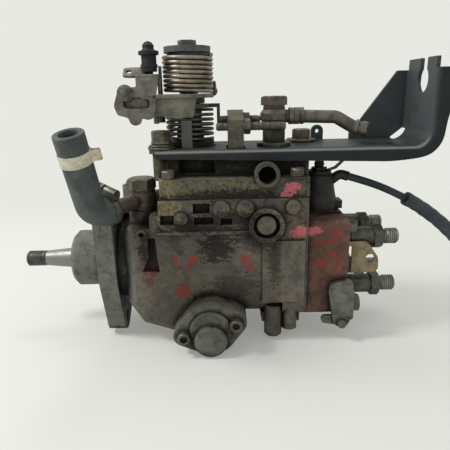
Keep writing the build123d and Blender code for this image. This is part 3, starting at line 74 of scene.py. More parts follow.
class Wire:
    # a socket that can be written into a sum
    def __init__(self, tree, socket):
        self.tree = tree
        self.socket = socket

    def maths(self, operation, *others):
        node = self.tree.nodes.new("ShaderNodeMath")
        node.operation = operation
        for slot, value in zip(node.inputs, (self, *others)):
            plug(self.tree, slot, value)
        return Wire(self.tree, node.outputs[0])

    def __add__(self, other):
        return self.maths("ADD", other)

    def __mul__(self, other):
        return self.maths("MULTIPLY", other)

    def __sub__(self, other):
        return self.maths("SUBTRACT", other)

    def __rsub__(self, other):
        return (self * -1.0).maths("ADD", other)

    __radd__ = __add__
    __rmul__ = __mul__

    def either(self, other):
        return self.maths("MAXIMUM", other)

    def between(self, low, high):
        # 0 below low, 1 above high, smooth in the middle
        node = self.tree.nodes.new("ShaderNodeMapRange")
        node.interpolation_type = "SMOOTHSTEP"
        plug(self.tree, node.inputs["Value"], self)
        node.inputs["From Min"].default_value = low
        node.inputs["From Max"].default_value = high
        return Wire(self.tree, node.outputs["Result"])


def plug(tree, slot, value):
    if isinstance(value, Wire):
        tree.links.new(value.socket, slot)
    else:
        slot.default_value = value


class NodeBench:
    def __init__(self, tree):
        self.tree = tree
        tree.nodes.clear()

    def node(self, kind, settings=None, inputs=None, output=0):
        made = self.tree.nodes.new(kind)
        for key, value in (settings or {}).items():
            setattr(made, key, value)
        for key, value in (inputs or {}).items():
            plug(self.tree, made.inputs[key], value)
        return Wire(self.tree, made.outputs[output])


def tone(red, green, blue):
    # 0 to 255 as seen on a screen, to linear light
    linear = []
    for channel in (red, green, blue):
        share = channel / 255
        linear.append(share / 12.92 if share <= 0.04045 else ((share + 0.055) / 1.055) ** 2.4)
    return (*linear, 1.0)


class Finish(NodeBench):
    def __init__(self, name):
        self.material = bpy.data.materials.new(name)
        self.material.use_nodes = True
        super().__init__(self.material.node_tree)
        self.out = self.tree.nodes.new("ShaderNodeOutputMaterial")
        self.shader = self.tree.nodes.new("ShaderNodeBsdfPrincipled")
        self.tree.links.new(self.shader.outputs[0], self.out.inputs[0])
        self.place = self.node("ShaderNodeTexCoord", output="Object")

    def axis(self, letter):
        # distance along one axis in millimetres
        return self.node("ShaderNodeSeparateXYZ", None, {0: self.place}, letter) * 1000.0

    def noise(self, size, detail, rough, stretch=(1, 1, 1), shift=0.0):
        # size is the width of one blotch in millimetres
        scale = [s / (size * mm) for s in stretch]
        spread = {"Vector": self.place, "Scale": scale, "Location": (shift,) * 3}
        laid = self.node("ShaderNodeMapping", None, spread)
        inputs = {"Vector": laid, "Scale": 1.0, "Detail": detail, "Roughness": rough}
        return self.node("ShaderNodeTexNoise", None, inputs)

    def mix(self, share, low, high):
        return self.node("ShaderNodeMix", {"data_type": "RGBA"}, {0: share, 6: low, 7: high}, 2)

    def layer(self, share, colour):
        # a further tone over the ones before it
        self.colour = self.mix(share, self.colour, colour)

    def creviceShade(self, reach):
        # painted shade: 1 in corners and under overhangs, 0 on open faces
        return 1.0 - self.node("ShaderNodeAmbientOcclusion", {"samples": 6}, {"Distance": reach * mm}, "AO")

    def vector(self, operation, first, second=(0, 0, 0), output="Vector"):
        return self.node("ShaderNodeVectorMath", {"operation": operation}, {0: first, 1: second}, output)

    def eased(self, radius):
        # the surface's direction with its edges rounded
        return self.node("ShaderNodeBevel", {"samples": 4}, {"Radius": radius * mm})

    def edge(self, radius):
        # 1 along sharp edges
        flat = self.node("ShaderNodeNewGeometry", output="Normal")
        return (1.0 - self.vector("DOT_PRODUCT", self.eased(radius), flat, "Value")).between(0.01, 0.12)

    def tipped(self):
        # how far a face looks up, from -1 to 1
        flat = self.node("ShaderNodeNewGeometry", output="Normal")
        return self.node("ShaderNodeSeparateXYZ", None, {0: flat}, "Z")

    def upward(self):
        # 1 on faces that look up, where dust settles and where the dark sheet gets painted shade
        return self.tipped().between(0.3, 0.9)

    def spot(self, centre, radii, turn=0.0):
        # 1 inside an oval round the centre, fading at its rim
        away = self.vector("SUBTRACT", self.place, [c * mm for c in centre])
        inputs = {"Vector": away, "Angle": turn}
        swung = self.node("ShaderNodeVectorRotate", {"rotation_type": "Y_AXIS"}, inputs)
        far = self.vector("LENGTH", self.vector("DIVIDE", swung, [r * mm for r in radii]), output="Value")
        ragged = self.noise(3.6, 6, 0.8, stretch=(0.8, 1, 1.4), shift=15.0) * 3.4 - 1.7
        return 1.0 - (far + ragged).between(0.75, 1.05)

    def finish(self, roughness=0.6, metallic=0.0, relief=None, soften=0.0, coat=0.0, gloss=0.5):
        # relief is (height, depth), and soften the width of a rounded edge in millimetres
        sockets = {
            "Base Color": self.colour, "Roughness": roughness, "Metallic": metallic,
            "Coat Weight": coat, "Coat Roughness": 0.22, "Specular IOR Level": gloss,
        }
        if relief is not None:
            height, depth = relief
            inputs = {"Height": height, "Strength": 1.0, "Distance": depth * mm}
            if soften:
                inputs["Normal"] = self.eased(soften)
            sockets["Normal"] = self.node("ShaderNodeBump", None, inputs)
        for label, value in sockets.items():
            plug(self.tree, self.shader.inputs[label], value)
        return self.material


# colours laid over the finishes; tar darkens the oil stains and also serves as painted shade in corners
grime = {
    "tarAndShade": tone(20, 18, 15), "dustyOil": tone(62, 58, 50), "driedFuel": tone(160, 146, 102),
    "rust": tone(92, 62, 44), "rubbed": tone(150, 148, 140), "filings": tone(150, 148, 138),
    "flecks": tone(166, 156, 130), "greyDust": tone(126, 120, 104), "paleDust": tone(138, 130, 114),
    "red": tone(156, 46, 44), "faded": tone(112, 42, 50), "pink": tone(214, 112, 122),
}
# how strongly each smear hides what lies under it
smearCover = {"red": 0.62, "faded": 0.62, "pink": 0.9}


def castSkin(
    name, base, worn, fuel=(), smears=(), oilAndShadow=(), crustFrom=(-90, -80), grit=1.0, bare=None, filed=None
):
    # rough casting under oil, dust and dried fuel, with painted shade in its corners and hollows
    # fuel and the oil stains hold (centre, radii, strength), smears hold (centre, radii, turn, paint)
    # crustFrom is the height over which the crust begins
    # bare is (stretch along X, tone) of cleaner metal, filed is (start, end, top) of a flat filed by hand
    skin = Finish(name)
    blotch = skin.noise(26, 5, 0.6)
    patch = skin.noise(7, 6, 0.7, shift=4.0)
    lump = skin.noise(3.6, 8, 0.78, shift=21.0)
    grain = skin.noise(0.8, 4, 0.7)
    crust = skin.axis("Z").between(*crustFrom) * grit
    skin.colour = skin.mix(blotch.between(0.38, 0.62), tone(*base), tone(*worn))
    if bare:
        reach, metalTone = bare
        clean = 1.0 - skin.axis("X").between(*reach)
        skin.layer(clean * (0.6 + patch * 0.5), metalTone)
    skin.layer(patch.between(0.42, 0.68) * 0.6, grime["dustyOil"])
    if filed:
        start, end, top = filed
        stripe = skin.axis("X").between(start, start + 1) * (1.0 - skin.axis("X").between(end, end + 1))
        stripe = stripe * (1.0 - skin.axis("Z").between(top, top + 1))
        lines = skin.noise(1.3, 4, 0.7, stretch=(3.2, 1, 0.22), shift=14.0).between(0.48, 0.66)
        skin.layer(stripe * lines * 0.5, grime["filings"])
    flecks = skin.noise(0.9, 5, 0.85, shift=9.0).between(0.54, 0.64)
    field = skin.noise(12, 5, 0.65, shift=12.0).between(0.40, 0.62)
    skin.layer(flecks * (0.3 + field * 0.6) * (0.5 + crust * 0.5), grime["flecks"])
    dried = skin.noise(2.2, 7, 0.8, shift=2.0).between(0.42, 0.60)
    wet = (lump + 0.35).between(0.58, 0.84)
    for stains, mask, stuff in ((fuel, dried, "driedFuel"), (oilAndShadow, wet, "tarAndShade")):
        for centre, radii, strength in stains:
            skin.layer(skin.spot(centre, radii) * mask * strength, grime[stuff])
    hollow = crust * (1.0 - lump.between(0.34, 0.50))
    # dirt and painted shade: the occlusion term paints shade into corners and under overhangs, the noise
    # terms add dirt
    dirtAndShade = skin.creviceShade(11) * 2.1 + patch * 0.6 + (0.5 - blotch) * 1.1 + hollow * 0.8
    dirtAndShade = dirtAndShade.between(0.5, 1.15)
    skin.layer(dirtAndShade * 0.95, grime["tarAndShade"])
    dust = skin.upward() * skin.noise(6, 4, 0.6, shift=7.0).between(0.35, 0.7)
    skin.layer(dust * 0.35, grime["greyDust"])
    edges = skin.edge(0.7) * skin.noise(3, 3, 0.6, shift=6.0).between(0.4, 0.6) * (1.0 - dirtAndShade)
    skin.layer(edges * 0.7, grime["rubbed"])
    patchy = skin.noise(2.2, 6, 0.85, stretch=(1.3, 1, 0.7), shift=3.0).between(0.32, 0.47)
    for centre, radii, turn, paint in smears:
        skin.layer(skin.spot(centre, radii, turn) * patchy * smearCover[paint], grime[paint])
    rough = 0.50 + patch * 0.35 - dirtAndShade * 0.16
    height = grain * 0.35 + patch * 0.9 + lump * (0.5 + crust * 1.6) + flecks * 0.3
    return skin.finish(rough, 0.1, (height, 1.0), soften=0.9, gloss=0.28)


def wornMetal(name, light, dark, shine, stainAndShade, rust=0.0, reach=5, metallic=0.75, clean=None):
    # turned, pressed or plated steel with grime and painted shade in its corners
    # clean is (start, end, colour) for a stretch along X that is rubbed bright
    metal = Finish(name)
    blotch = metal.noise(8.0, 5, 0.65)
    fine = metal.noise(0.6, 3, 0.6)
    metal.colour = metal.mix(blotch.between(0.35, 0.7), tone(*light), tone(*dark))
    if clean:
        start, end, bright = clean
        metal.layer(metal.axis("X").between(start, end) * (0.7 + fine * 0.5), tone(*bright))
    metal.layer(metal.noise(3.5, 5, 0.7, shift=5.0).between(0.5, 0.72) * rust, grime["rust"])
    # painted shade in corners and under overhangs, mixed with blotchy dirt
    dirtAndShade = (metal.creviceShade(reach) * 1.4 + blotch * 0.4).between(0.4, 1.1)
    metal.layer(dirtAndShade * stainAndShade, grime["tarAndShade"])
    dust = metal.upward() * metal.noise(4, 4, 0.6, shift=7.0).between(0.4, 0.7)
    metal.layer(dust * 0.25, grime["paleDust"])
    metal.layer(metal.edge(0.35) * (1.0 - dirtAndShade) * 0.5, grime["rubbed"])
    rough = shine + blotch * 0.25 + dirtAndShade * 0.2 + dust * 0.15
    return metal.finish(rough, metallic, (fine * 0.35 + blotch * 0.3, 0.18), soften=0.4)


# the sheet's tones: the top, lip and corner ones are painted shade, the bend one a painted highlight and
# the oil one a painted shadow
sheetPaint = {
    "dark": tone(60, 65, 67), "light": tone(73, 78, 79), "topShade": tone(30, 32, 33),
    "dust": tone(96, 90, 78), "scratch": tone(112, 114, 112), "edge": tone(128, 128, 122),
    "oilAndShadow": tone(20, 21, 22), "corner": tone(22, 23, 24), "lipShade": tone(22, 24, 26),
    "bend": tone(176, 180, 178), "dustyUntil": (60, 150), "lipFrom": (-33.5, -30),
}


def paintedSheet(name):
    # blue-black paint with a low gloss, scuffed at the edges, dusty at its left end, with painted shade on
    # its tops, in its corners and along its front lip, a painted highlight along the lip's bend and a
    # painted shadow across its web
    paint = Finish(name)
    look = sheetPaint
    blotch = paint.noise(30, 5, 0.6)
    fine = paint.noise(1.2, 4, 0.6)
    paint.colour = paint.mix(blotch.between(0.35, 0.7), look["dark"], look["light"])
    dusty = 1.0 - paint.axis("X").between(*look["dustyUntil"])
    dusty = dusty * paint.noise(9, 5, 0.7, shift=8.0).between(0.3, 0.6)
    paint.layer(dusty * 0.6, look["dust"])
    scratch = paint.noise(3, 4, 0.7, stretch=(0.15, 1, 1)).between(0.64, 0.72)
    paint.layer(scratch * 0.3, look["scratch"])
    # painted shade on the tops of the sheet
    paint.layer(paint.upward() * (0.35 + blotch * 0.3), look["topShade"])
    # painted shadow: two dark ovals across the web
    oilAndShadow = paint.spot((224, -20, 92), (4.5, 14, 6), 0.15).either(paint.spot((207, -14, 93), (7, 12, 5)))
    paint.layer(oilAndShadow * 0.85, look["oilAndShadow"])
    # painted shade along the front lip
    lipShade = 1.0 - paint.axis("Y").between(*look["lipFrom"])
    paint.layer(lipShade * 0.72, look["lipShade"])
    # painted highlight along the rounded bend of the lip, broken up by the scratches
    tipped = paint.tipped()
    bend = lipShade * tipped.between(0.3, 0.6) * (1.0 - tipped.between(0.85, 0.98))
    paint.layer(bend * (0.55 + scratch * 0.4), look["bend"])
    # painted shade in corners and under overhangs, mixed with blotchy dirt
    dirtAndShade = (paint.creviceShade(7) * 1.3 + blotch * 0.3).between(0.45, 1.1)
    paint.layer(dirtAndShade * 0.75, look["corner"])
    edges = paint.edge(0.5) * paint.noise(4, 4, 0.6, shift=2.0).between(0.42, 0.6)
    paint.layer(edges * 0.5, look["edge"])
    rough = 0.38 + blotch * 0.2 + dusty * 0.2
    relief = (fine * 0.3 + blotch * 0.4, 0.08)
    return paint.finish(rough, 0.1, relief, soften=0.5, coat=0.04, gloss=0.12)


def rubber(name, light, worn, grain=1.2, chalk=0.0):
    # moulded rubber or plastic, chalky where the bloom shows, with painted shade in its corners
    skin = Finish(name)
    blotch = skin.noise(14, 4, 0.6)
    fine = skin.noise(grain, 4, 0.65)
    skin.colour = skin.mix(blotch.between(0.35, 0.7), tone(*light), tone(*worn))
    if chalk:
        bloom = skin.noise(5, 5, 0.7, stretch=(1, 1, 0.4), shift=6.0).between(0.5, 0.75)
        skin.layer(bloom * chalk, tone(120, 122, 116))
    # painted shade in corners and under overhangs
    skin.layer((skin.creviceShade(5) * 1.4).between(0.3, 1.0) * 0.6, tone(18, 18, 18))
    return skin.finish(0.5 + blotch * 0.25, 0.0, (fine, 0.10), gloss=0.3)


def bandSteel(name):
    # cream painted clamp band, chipped and oily, with nothing printed on it
    band = Finish(name)
    blotch = band.noise(5, 5, 0.7)
    band.colour = band.mix(blotch.between(0.4, 0.75), tone(214, 208, 186), tone(160, 150, 122))
    chips = band.noise(1.6, 4, 0.7, shift=3.0).between(0.6, 0.68)
    band.layer(chips * 0.6, tone(84, 76, 62))
    band.layer(band.edge(0.4) * 0.6, tone(92, 84, 68))
    return band.finish(0.45, 0.1, (blotch, 0.08))


near = -42.0  # the body's side plane, where most stains lie
housingStains = {
    "smears": [
        ((59.6, near, 10.3), (2.2, 9, 6.9), 0.1, "red"),
        ((70, near, 7), (2, 9, 6.6), -0.35, "red"),
        ((72.6, near, 12.5), (3.2, 9, 4.2), 0.6, "red"),
        ((64.5, near, -13.7), (6.6, 9, 5.6), 0.2, "red"),
        ((111.5, near, 11), (4.2, 9, 4.6), 0.7, "red"),
        ((115.6, near, 4), (2.2, 9, 4.6), 0.5, "red"),
        ((42.4, near + 4, 1), (3, 12, 7.5), -0.4, "faded"),
        ((36, near + 6, 4.3), (2.2, 12, 8), 0.1, "faded"),
        ((39, near + 4, -6), (5, 12, 3.2), 0, "faded"),
        ((152.4, near, 31.8), (6.6, 9, 4.4), 0.1, "pink"),
    ],
    "fuel": [
        ((55, -38, 50), (11, 16, 13), 0.95),
        ((106, -43, 47), (12, 8, 6), 0.5),
        ((60, -42, 36), (22, 8, 5), 0.35),
    ],
    "oilAndShadow": [
        ((90, near, 20), (14, 9, 12), 0.9),
        ((76, near, 37), (26, 9, 5.5), 0.9),
        ((60, near + 4, 24), (9, 12, 9), 0.45),
        ((134, near, 8), (5, 9, 22), 0.6),
        ((122, near, 33), (20, 12, 17), 0.6),
        ((98, near, 44), (34, 9, 6), 0.7),
        ((38, near + 4, 20), (6, 14, 17), 0.85),
        ((104, near, -10), (20, 9, 10), 0.5),
        ((118, near, 38), (9, 9, 12), 0.5),
    ],
    "crustFrom": (14, 34),
    "bare": ((16, 40), tone(124, 126, 119)),
    "filed": (139, 159, 22),
}
coverStains = {
    "smears": [
        ((147, -40, 64.5), (6.6, 9, 4), 0.1, "pink"),
        ((142.6, -40, 58.4), (4.4, 9, 4.4), 0.3, "pink"),
    ],
    "fuel": [
        ((55, -34, 66), (9, 16, 16), 0.95),
        ((92, -38, 66), (40, 12, 7), 0.28),
        ((70, -28, 82), (26, 10, 9), 0.3),
    ],
    "oilAndShadow": [
        ((104, -38, 58), (44, 12, 7), 0.9),
        ((84, -30, 84), (34, 14, 8), 0.8),
        ((150, -36, 76), (13, 12, 10), 0.7),
    ],
}
headStains = {
    "smears": [
        ((164, -38, 30.8), (5.6, 9, 4), 0.1, "pink"),
        ((180.6, -38, 29), (3.4, 9, 4.4), 0.5, "red"),
        ((172, -38, 21.4), (11, 9, 1.9), 0.12, "red"),
        ((169.6, -38, 6.2), (7, 9, 1.8), 0.1, "red"),
        ((171.4, -38, 2.6), (1.8, 9, 4.6), -0.2, "red"),
        ((177.4, -38, 12.2), (5.8, 9, 1.7), 0.1, "red"),
        ((182.4, -38, 7), (1.6, 9, 6), 0, "red"),
    ],
    "grit": 0.25,
}
brightOutlets = (221.5, 224, (146, 144, 134))
brightTaper = (-54.5, -52, (138, 136, 130))
# name, light tone, dark tone, roughness, stain and painted corner shade, rust, reach of that shade,
# metallic, rubbed stretch
steels = {
    "screwSteel": ("oiledScrews", (104, 100, 90), (66, 61, 54), 0.35, 0.7, 0.3, 4),
    "outletSteel": ("outletSteel", (92, 92, 86), (60, 59, 54), 0.34, 0.9, 0.15, 3, 0.75, brightOutlets),
    "groundSteel": ("groundSteel", (186, 184, 178), (150, 147, 140), 0.22, 0.4, 0.08, 4),
    "shaftSteel": ("shaftSteel", (92, 92, 90), (62, 62, 60), 0.3, 0.3, 0.05, 4, 0.75, brightTaper),
    "springSteel": ("springSteel", (152, 144, 130), (112, 103, 90), 0.26, 0.7, 0.25, 3),
    "darkSpring": ("darkSpring", (96, 95, 90), (54, 53, 50), 0.34, 0.85, 0.15, 4),
    "innerSteel": ("innerSteel", (160, 158, 152), (120, 117, 110), 0.25, 0.4, 0.0, 4),
    "leverZinc": ("dullZinc", (124, 121, 111), (88, 84, 75), 0.45, 0.7, 0.25, 6, 0.4),
    "drumZinc": ("drumZinc", (98, 100, 98), (66, 68, 67), 0.4, 0.75, 0.1, 6, 0.45),
    "oliveZinc": ("oliveZinc", (72, 74, 68), (50, 51, 46), 0.42, 0.75, 0.1, 5, 0.4),
    "brownZinc": ("brownZinc", (96, 88, 76), (62, 56, 48), 0.36, 0.65, 0.2, 5, 0.55),
    "pipeZinc": ("pipeZinc", (108, 104, 97), (70, 66, 60), 0.34, 0.6, 0.15, 5, 0.6),
    "yellowZinc": ("yellowZinc", (150, 134, 104), (108, 97, 74), 0.38, 0.5, 0.1, 5, 0.45),
    "solenoid": ("oilySolenoid", (52, 50, 46), (34, 32, 30), 0.4, 0.7, 0.12, 8, 0.4),
    "bronze": ("bearingBronze", (150, 118, 70), (110, 84, 50), 0.4, 0.4),
    "copper": ("washerCopper", (92, 72, 56), (64, 54, 46), 0.4, 0.7, 0.1, 3),
}
# name, tone, worn tone, grain, chalk
rubbers = {
    "hose": ("mouldedHose", (66, 72, 71), (86, 92, 90), 1.2, 0.35),
    "lead": ("leadRubber", (40, 48, 54), (58, 67, 73)),
    "sleeve": ("sleeveRubber", (54, 61, 66), (74, 82, 86), 2.0),
    "gasket": ("gasketSheet", (26, 25, 22), (40, 37, 32)),
    "connector": ("connectorPlastic", (26, 27, 29), (40, 41, 43)),
}
finishes = {
    "housing": castSkin("castHousing", (118, 108, 95), (90, 87, 79), **housingStains),
    "cover": castSkin("castCover", (104, 100, 84), (80, 79, 68), **coverStains),
    "head": castSkin("stainedHead", (132, 90, 76), (104, 77, 66), **headStains),
    "deviceCover": castSkin("castDeviceCover", (128, 128, 119), (102, 102, 94), grit=0.4),
    "sheet": paintedSheet("darkSheet"),
    "band": bandSteel("creamBand"),
}
for maker, table in ((wornMetal, steels), (rubber, rubbers)):
    finishes.update({key: maker(*values) for key, values in table.items()})
print("finishes ready:", len(finishes))

nodeFinish = {
    "housing": "housing", "governor_cover": "cover", "cover_gasket": "gasket",
    "timing_covers": "deviceCover", "distributor_head": "head", "shaft_key": "groundSteel",
    "plugs": "screwSteel", "stop_solenoid": "solenoid", "drive_shaft": "shaftSteel",
    "throttle_shaft": "groundSteel", "throttle_lever": "leverZinc", "spring_drum": "drumZinc",
    "ball_stud": "connector", "idle_lever": "oliveZinc", "inlet_fitting": "brownZinc",
    "return_fitting": "pipeZinc", "sealing_washers": "copper", "zinc_bracket": "yellowZinc",
    "cable_bracket": "sheet", "rear_bracket": "deviceCover", "lead_connector": "connector",
    "shaft_bush": "bronze", "shaft_seal": "gasket",
}
for nodeName, nodeObject in frame["nodes"].items():
    look = finishes[nodeFinish.get(nodeName, "innerSteel")]
    nodeObject.data.materials.clear()
    nodeObject.data.materials.append(look)
print("CAD nodes dressed")


class Recipe(NodeBench):
    # a Geometry Nodes tree with named inputs
    def __init__(self, name, **inputs):
        super().__init__(bpy.data.node_groups.new(name, "GeometryNodeTree"))
        for label, kind in inputs.items():
            self.tree.interface.new_socket(name=label, in_out="INPUT", socket_type="NodeSocket" + kind)
        self.tree.interface.new_socket(name="mesh", in_out="OUTPUT", socket_type="NodeSocketGeometry")
        self.entry = self.tree.nodes.new("NodeGroupInput")

    def given(self, label):
        return Wire(self.tree, self.entry.outputs[label])

    def close(self, mesh):
        whole = self.node("GeometryNodeRealizeInstances", None, {0: mesh})
        inputs = {"Geometry": whole, "Material": self.given("finish")}
        dressed = self.node("GeometryNodeSetMaterial", None, inputs)
        out = self.tree.nodes.new("NodeGroupOutput")
        plug(self.tree, out.inputs[0], dressed)
        return self

    def grow(self, seed=None, **values):
        # the tree's result as a plain mesh
        holder = linked("bench", seed or bpy.data.meshes.new("bench"))
        modifier = holder.modifiers.new("recipe", "NODES")
        modifier.node_group = self.tree
        for item in self.tree.interface.items_tree:
            if item.in_out == "INPUT" and item.name in values:
                modifier[item.identifier] = values[item.name]
        return harvest(holder)


def linked(name, data):
    item = bpy.data.objects.new(name, data)
    bpy.context.collection.objects.link(item)
    return item


def harvest(holder):
    # an object's finished shape as a plain mesh, after which the object goes
    bpy.context.view_layer.update()
    seen = holder.evaluated_get(bpy.context.evaluated_depsgraph_get())
    mesh = bpy.data.meshes.new_from_object(seen)
    holder.modifiers.clear()
    bpy.data.objects.remove(holder)
    return mesh


def coilRecipe():
    # round wire wound round the Z axis, starting at height 0
    sizes = {"radius": "Float", "wire": "Float", "height": "Float", "turns": "Float", "sides": "Int"}
    recipe = Recipe("woundWire", **sizes, finish="Material")
    radius = recipe.given("radius")
    inputs = {"Resolution": 40, "Rotations": recipe.given("turns"), "Height": recipe.given("height")}
    inputs.update({"Start Radius": radius, "End Radius": radius})
    spiral = recipe.node("GeometryNodeCurveSpiral", None, inputs)
    inputs = {"Resolution": recipe.given("sides"), "Radius": recipe.given("wire")}
    section = recipe.node("GeometryNodeCurvePrimitiveCircle", {"mode": "RADIUS"}, inputs)
    inputs = {"Curve": spiral, "Profile Curve": section, "Fill Caps": True}
    return recipe.close(recipe.node("GeometryNodeCurveToMesh", None, inputs))


def copiesRecipe():
    # one part repeated at each point, turned by the point's own value
    recipe = Recipe("copiesAtPoints", places="Geometry", part="Object", finish="Material")
    part = recipe.node("GeometryNodeObjectInfo", None, {"Object": recipe.given("part")}, "Geometry")
    settings = {"data_type": "FLOAT_VECTOR"}
    turn = recipe.node("GeometryNodeInputNamedAttribute", settings, {"Name": "turn"})
    turn = recipe.node("FunctionNodeEulerToRotation", None, {0: turn})
    inputs = {"Points": recipe.given("places"), "Instance": part, "Rotation": turn}
    return recipe.close(recipe.node("GeometryNodeInstanceOnPoints", None, inputs))


woundWire = coilRecipe()
copiesAtPoints = copiesRecipe()


def pick(values, *names):
    return [values[name] for name in names]


def moved(x, y, z):
    return Matrix.Translation((x, y, z))


def turned(degrees, axis="Z"):
    return Matrix.Rotation(math.radians(degrees), 4, axis)


def facing(origin, direction, spin=0.0):
    # places a shape drawn up the Z axis at a point, pointing along a direction
    turn = Vector(direction).to_track_quat("Z", "Y").to_matrix().to_4x4()
    return moved(*origin) @ turn @ turned(spin)


def cleaned(mesh, distance):
    # doubled points merged and faces turned outwards
    shape = bmesh.new()
    shape.from_mesh(mesh)
    bmesh.ops.remove_doubles(shape, verts=shape.verts, dist=distance)
    bmesh.ops.recalc_face_normals(shape, faces=shape.faces)
    shape.to_mesh(mesh)
    shape.free()
    return mesh


def ringMesh(rings, closed=False):
    # rings of equal count joined by four-sided faces
    count = len(rings[0])
    points = [point for ring in rings for point in ring]
    total = len(points)
    faces = []
    for start in range(0, total if closed else total - count, count):
        for i in range(count):
            j = (i + 1) % count
            upper = (start + count) % total
            faces.append((start + i, start + j, upper + j, upper + i))
    if not closed:
        faces.append(tuple(range(count))[::-1])
        faces.append(tuple(range(total - count, total)))
    mesh = bpy.data.meshes.new("rings")
    mesh.from_pydata(points, [], faces)
    return cleaned(mesh, 1e-5)


def angles(count):
    return [2 * math.pi * i / count for i in range(count)]


def circle(radius, z, count=48, ribs=0.0):
    # every second point stands back by the ribs
    ring = []
    for i, angle in enumerate(angles(count)):
        reach = radius - ribs * (i % 2)
        ring.append((reach * math.cos(angle), reach * math.sin(angle), z))
    return ring


def circles(*stops, count=48):
    # one circle for each (radius, height)
    return [circle(radius, z, count) for radius, z in stops]


def hexRing(flat, z, count=48, drop=0.0, flush=0.0):
    # drop lowers the corners as a turned chamfer does, and flush is the radius that it starts from
    ring = []
    for angle in angles(count):
        reach = flat / 2 / math.cos((angle + math.pi / 6) % (math.pi / 3) - math.pi / 6)
        ring.append((reach * math.cos(angle), reach * math.sin(angle), z - drop * max(0.0, reach - flush)))
    return ring


flushShare = 0.475  # radius of a hexagon's flat face, for each unit across its flats


def hexHead(flat, low, top):
    flush = flat * flushShare
    return [hexRing(flat, low), hexRing(flat, top, 48, 0.6, flush), circle(flush, top)]


def tubeRings(points, radii, count=20):
    # rings square to a path, without twist from one to the next
    rings = []
    side = None
    for i, point in enumerate(points):
        ahead = points[min(i + 1, len(points) - 1)] - points[max(i - 1, 0)]
        ahead.normalize()
        if side is None:
            side = ahead.orthogonal().normalized()
        side = (side - ahead * side.dot(ahead)).normalized()
        up = ahead.cross(side)
        ring = []
        for angle in angles(count):
            ring.append(tuple(point + (side * math.cos(angle) + up * math.sin(angle)) * radii[i]))
        rings.append(ring)
    return rings


def joined(*meshes):
    whole = bmesh.new()
    for mesh in meshes:
        whole.from_mesh(mesh)
    result = bpy.data.meshes.new("joined")
    whole.to_mesh(result)
    whole.free()
    return result


def placed(mesh, *place):
    mesh.transform(moved(*place) if len(place) == 3 else place[0])
    return mesh


def addPiece(name, mesh, look, node, sharp=38, stands=True):
    # a mesh drawn in millimetres becomes a piece on the body that carries the CAD node
    mesh.transform(Matrix.Scale(mm, 4))
    mesh.materials.clear()
    mesh.materials.append(finishes[look])
    mesh.shade_smooth()
    mesh.set_sharp_from_angle(angle=math.radians(sharp))
    item = linked(name, mesh)
    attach(item, frame["nodes"][node]["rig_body"])
    if stands:
        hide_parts(node)
    return item


def repeated(part, spots):
    # spots holds (place, direction, spin) for each copy
    points = bpy.data.meshes.new("spots")
    points.from_pydata([spot[0] for spot in spots], [], [])
    turn = points.attributes.new("turn", "FLOAT_VECTOR", "POINT")
    for slot, spot in zip(turn.data, spots):
        slot.vector = facing(*spot).to_euler()
    model = linked("model", part)
    mesh = copiesAtPoints.grow(points, part=model)
    bpy.data.objects.remove(model)
    return mesh


def threadRidge(radius, pitch, length, depth):
    # the crests of a screw thread, sunk into their rod
    sunk = radius - depth * 0.6
    return woundWire.grow(radius=sunk, wire=depth, height=length, turns=length / pitch, sides=4)


def smoothCurve(name, points, steps):
    curve = bpy.data.curves.new(name, "CURVE")
    curve.dimensions = "3D"
    curve.resolution_u = steps
    spline = curve.splines.new("NURBS")
    spline.points.add(len(points) - 1)
    for slot, point in zip(spline.points, points):
        slot.co = (*point, 1.0)
    spline.order_u = 3
    spline.use_endpoint_u = True
    return curve


def routeOf(points, steps):
    # an even line through the smooth curve that the control points give
    mesh = harvest(linked("route", smoothCurve("route", points, steps)))
    return [vertex.co.copy() for vertex in mesh.vertices]


def rod(points, radius, count=12):
    # a round wire through the points
    line = [Vector(point) for point in points]
    return ringMesh(tubeRings(line, [radius] * len(line), count))


def roundedLoop(points, radius, steps=5):
    # a closed outline whose corners are eased over the given distance
    loop = []
    for i, point in enumerate(points):
        here = Vector(point)
        before = Vector(points[i - 1]) - here
        after = Vector(points[(i + 1) % len(points)]) - here
        reach = min(radius, before.length * 0.45, after.length * 0.45)
        start = here + before.normalized() * reach
        end = here + after.normalized() * reach
        for step in range(steps + 1):
            t = step / steps
            loop.append(start * (1 - t) ** 2 + here * 2 * t * (1 - t) + end * t**2)
    return loop


def roundLoop(x, y, radius):
    return [Vector((x + radius * math.cos(a), y + radius * math.sin(a))) for a in angles(28)]


def sheetPlate(loops, thickness, place, ease=0.25):
    # a flat plate with eased edges, drawn in its own XY plane, where the later loops are holes
    curve = bpy.data.curves.new("plate", "CURVE")
    curve.dimensions = "2D"
    curve.fill_mode = "BOTH"
    curve.extrude = thickness / 2 - ease
    curve.bevel_depth = ease
    curve.bevel_resolution = 1
    curve.offset = -ease
    for loop in loops:
        spline = curve.splines.new("POLY")
        spline.points.add(len(loop) - 1)
        for slot, point in zip(spline.points, loop):
            slot.co = (point[0], point[1], 0, 1)
        spline.use_cyclic_u = True
    return placed(cleaned(harvest(linked("plate", curve)), 0.01), place)


def upright(near, far):
    # the plate's Y becomes height and its thickness runs from near to far
    return moved(0, (near + far) / 2, 0) @ turned(90, "X")


leverAxisX = 72.0
throttlePlate = {
    "near": -23.0, "sheet": 2.0, "slotLow": 121.6, "slotHigh": 129.4, "topZ": 129.5,
    "shelfZ": 143.75, "earTilt": 38.0, "wireR": 1.3, "boltAt": (28, 132.6),
}


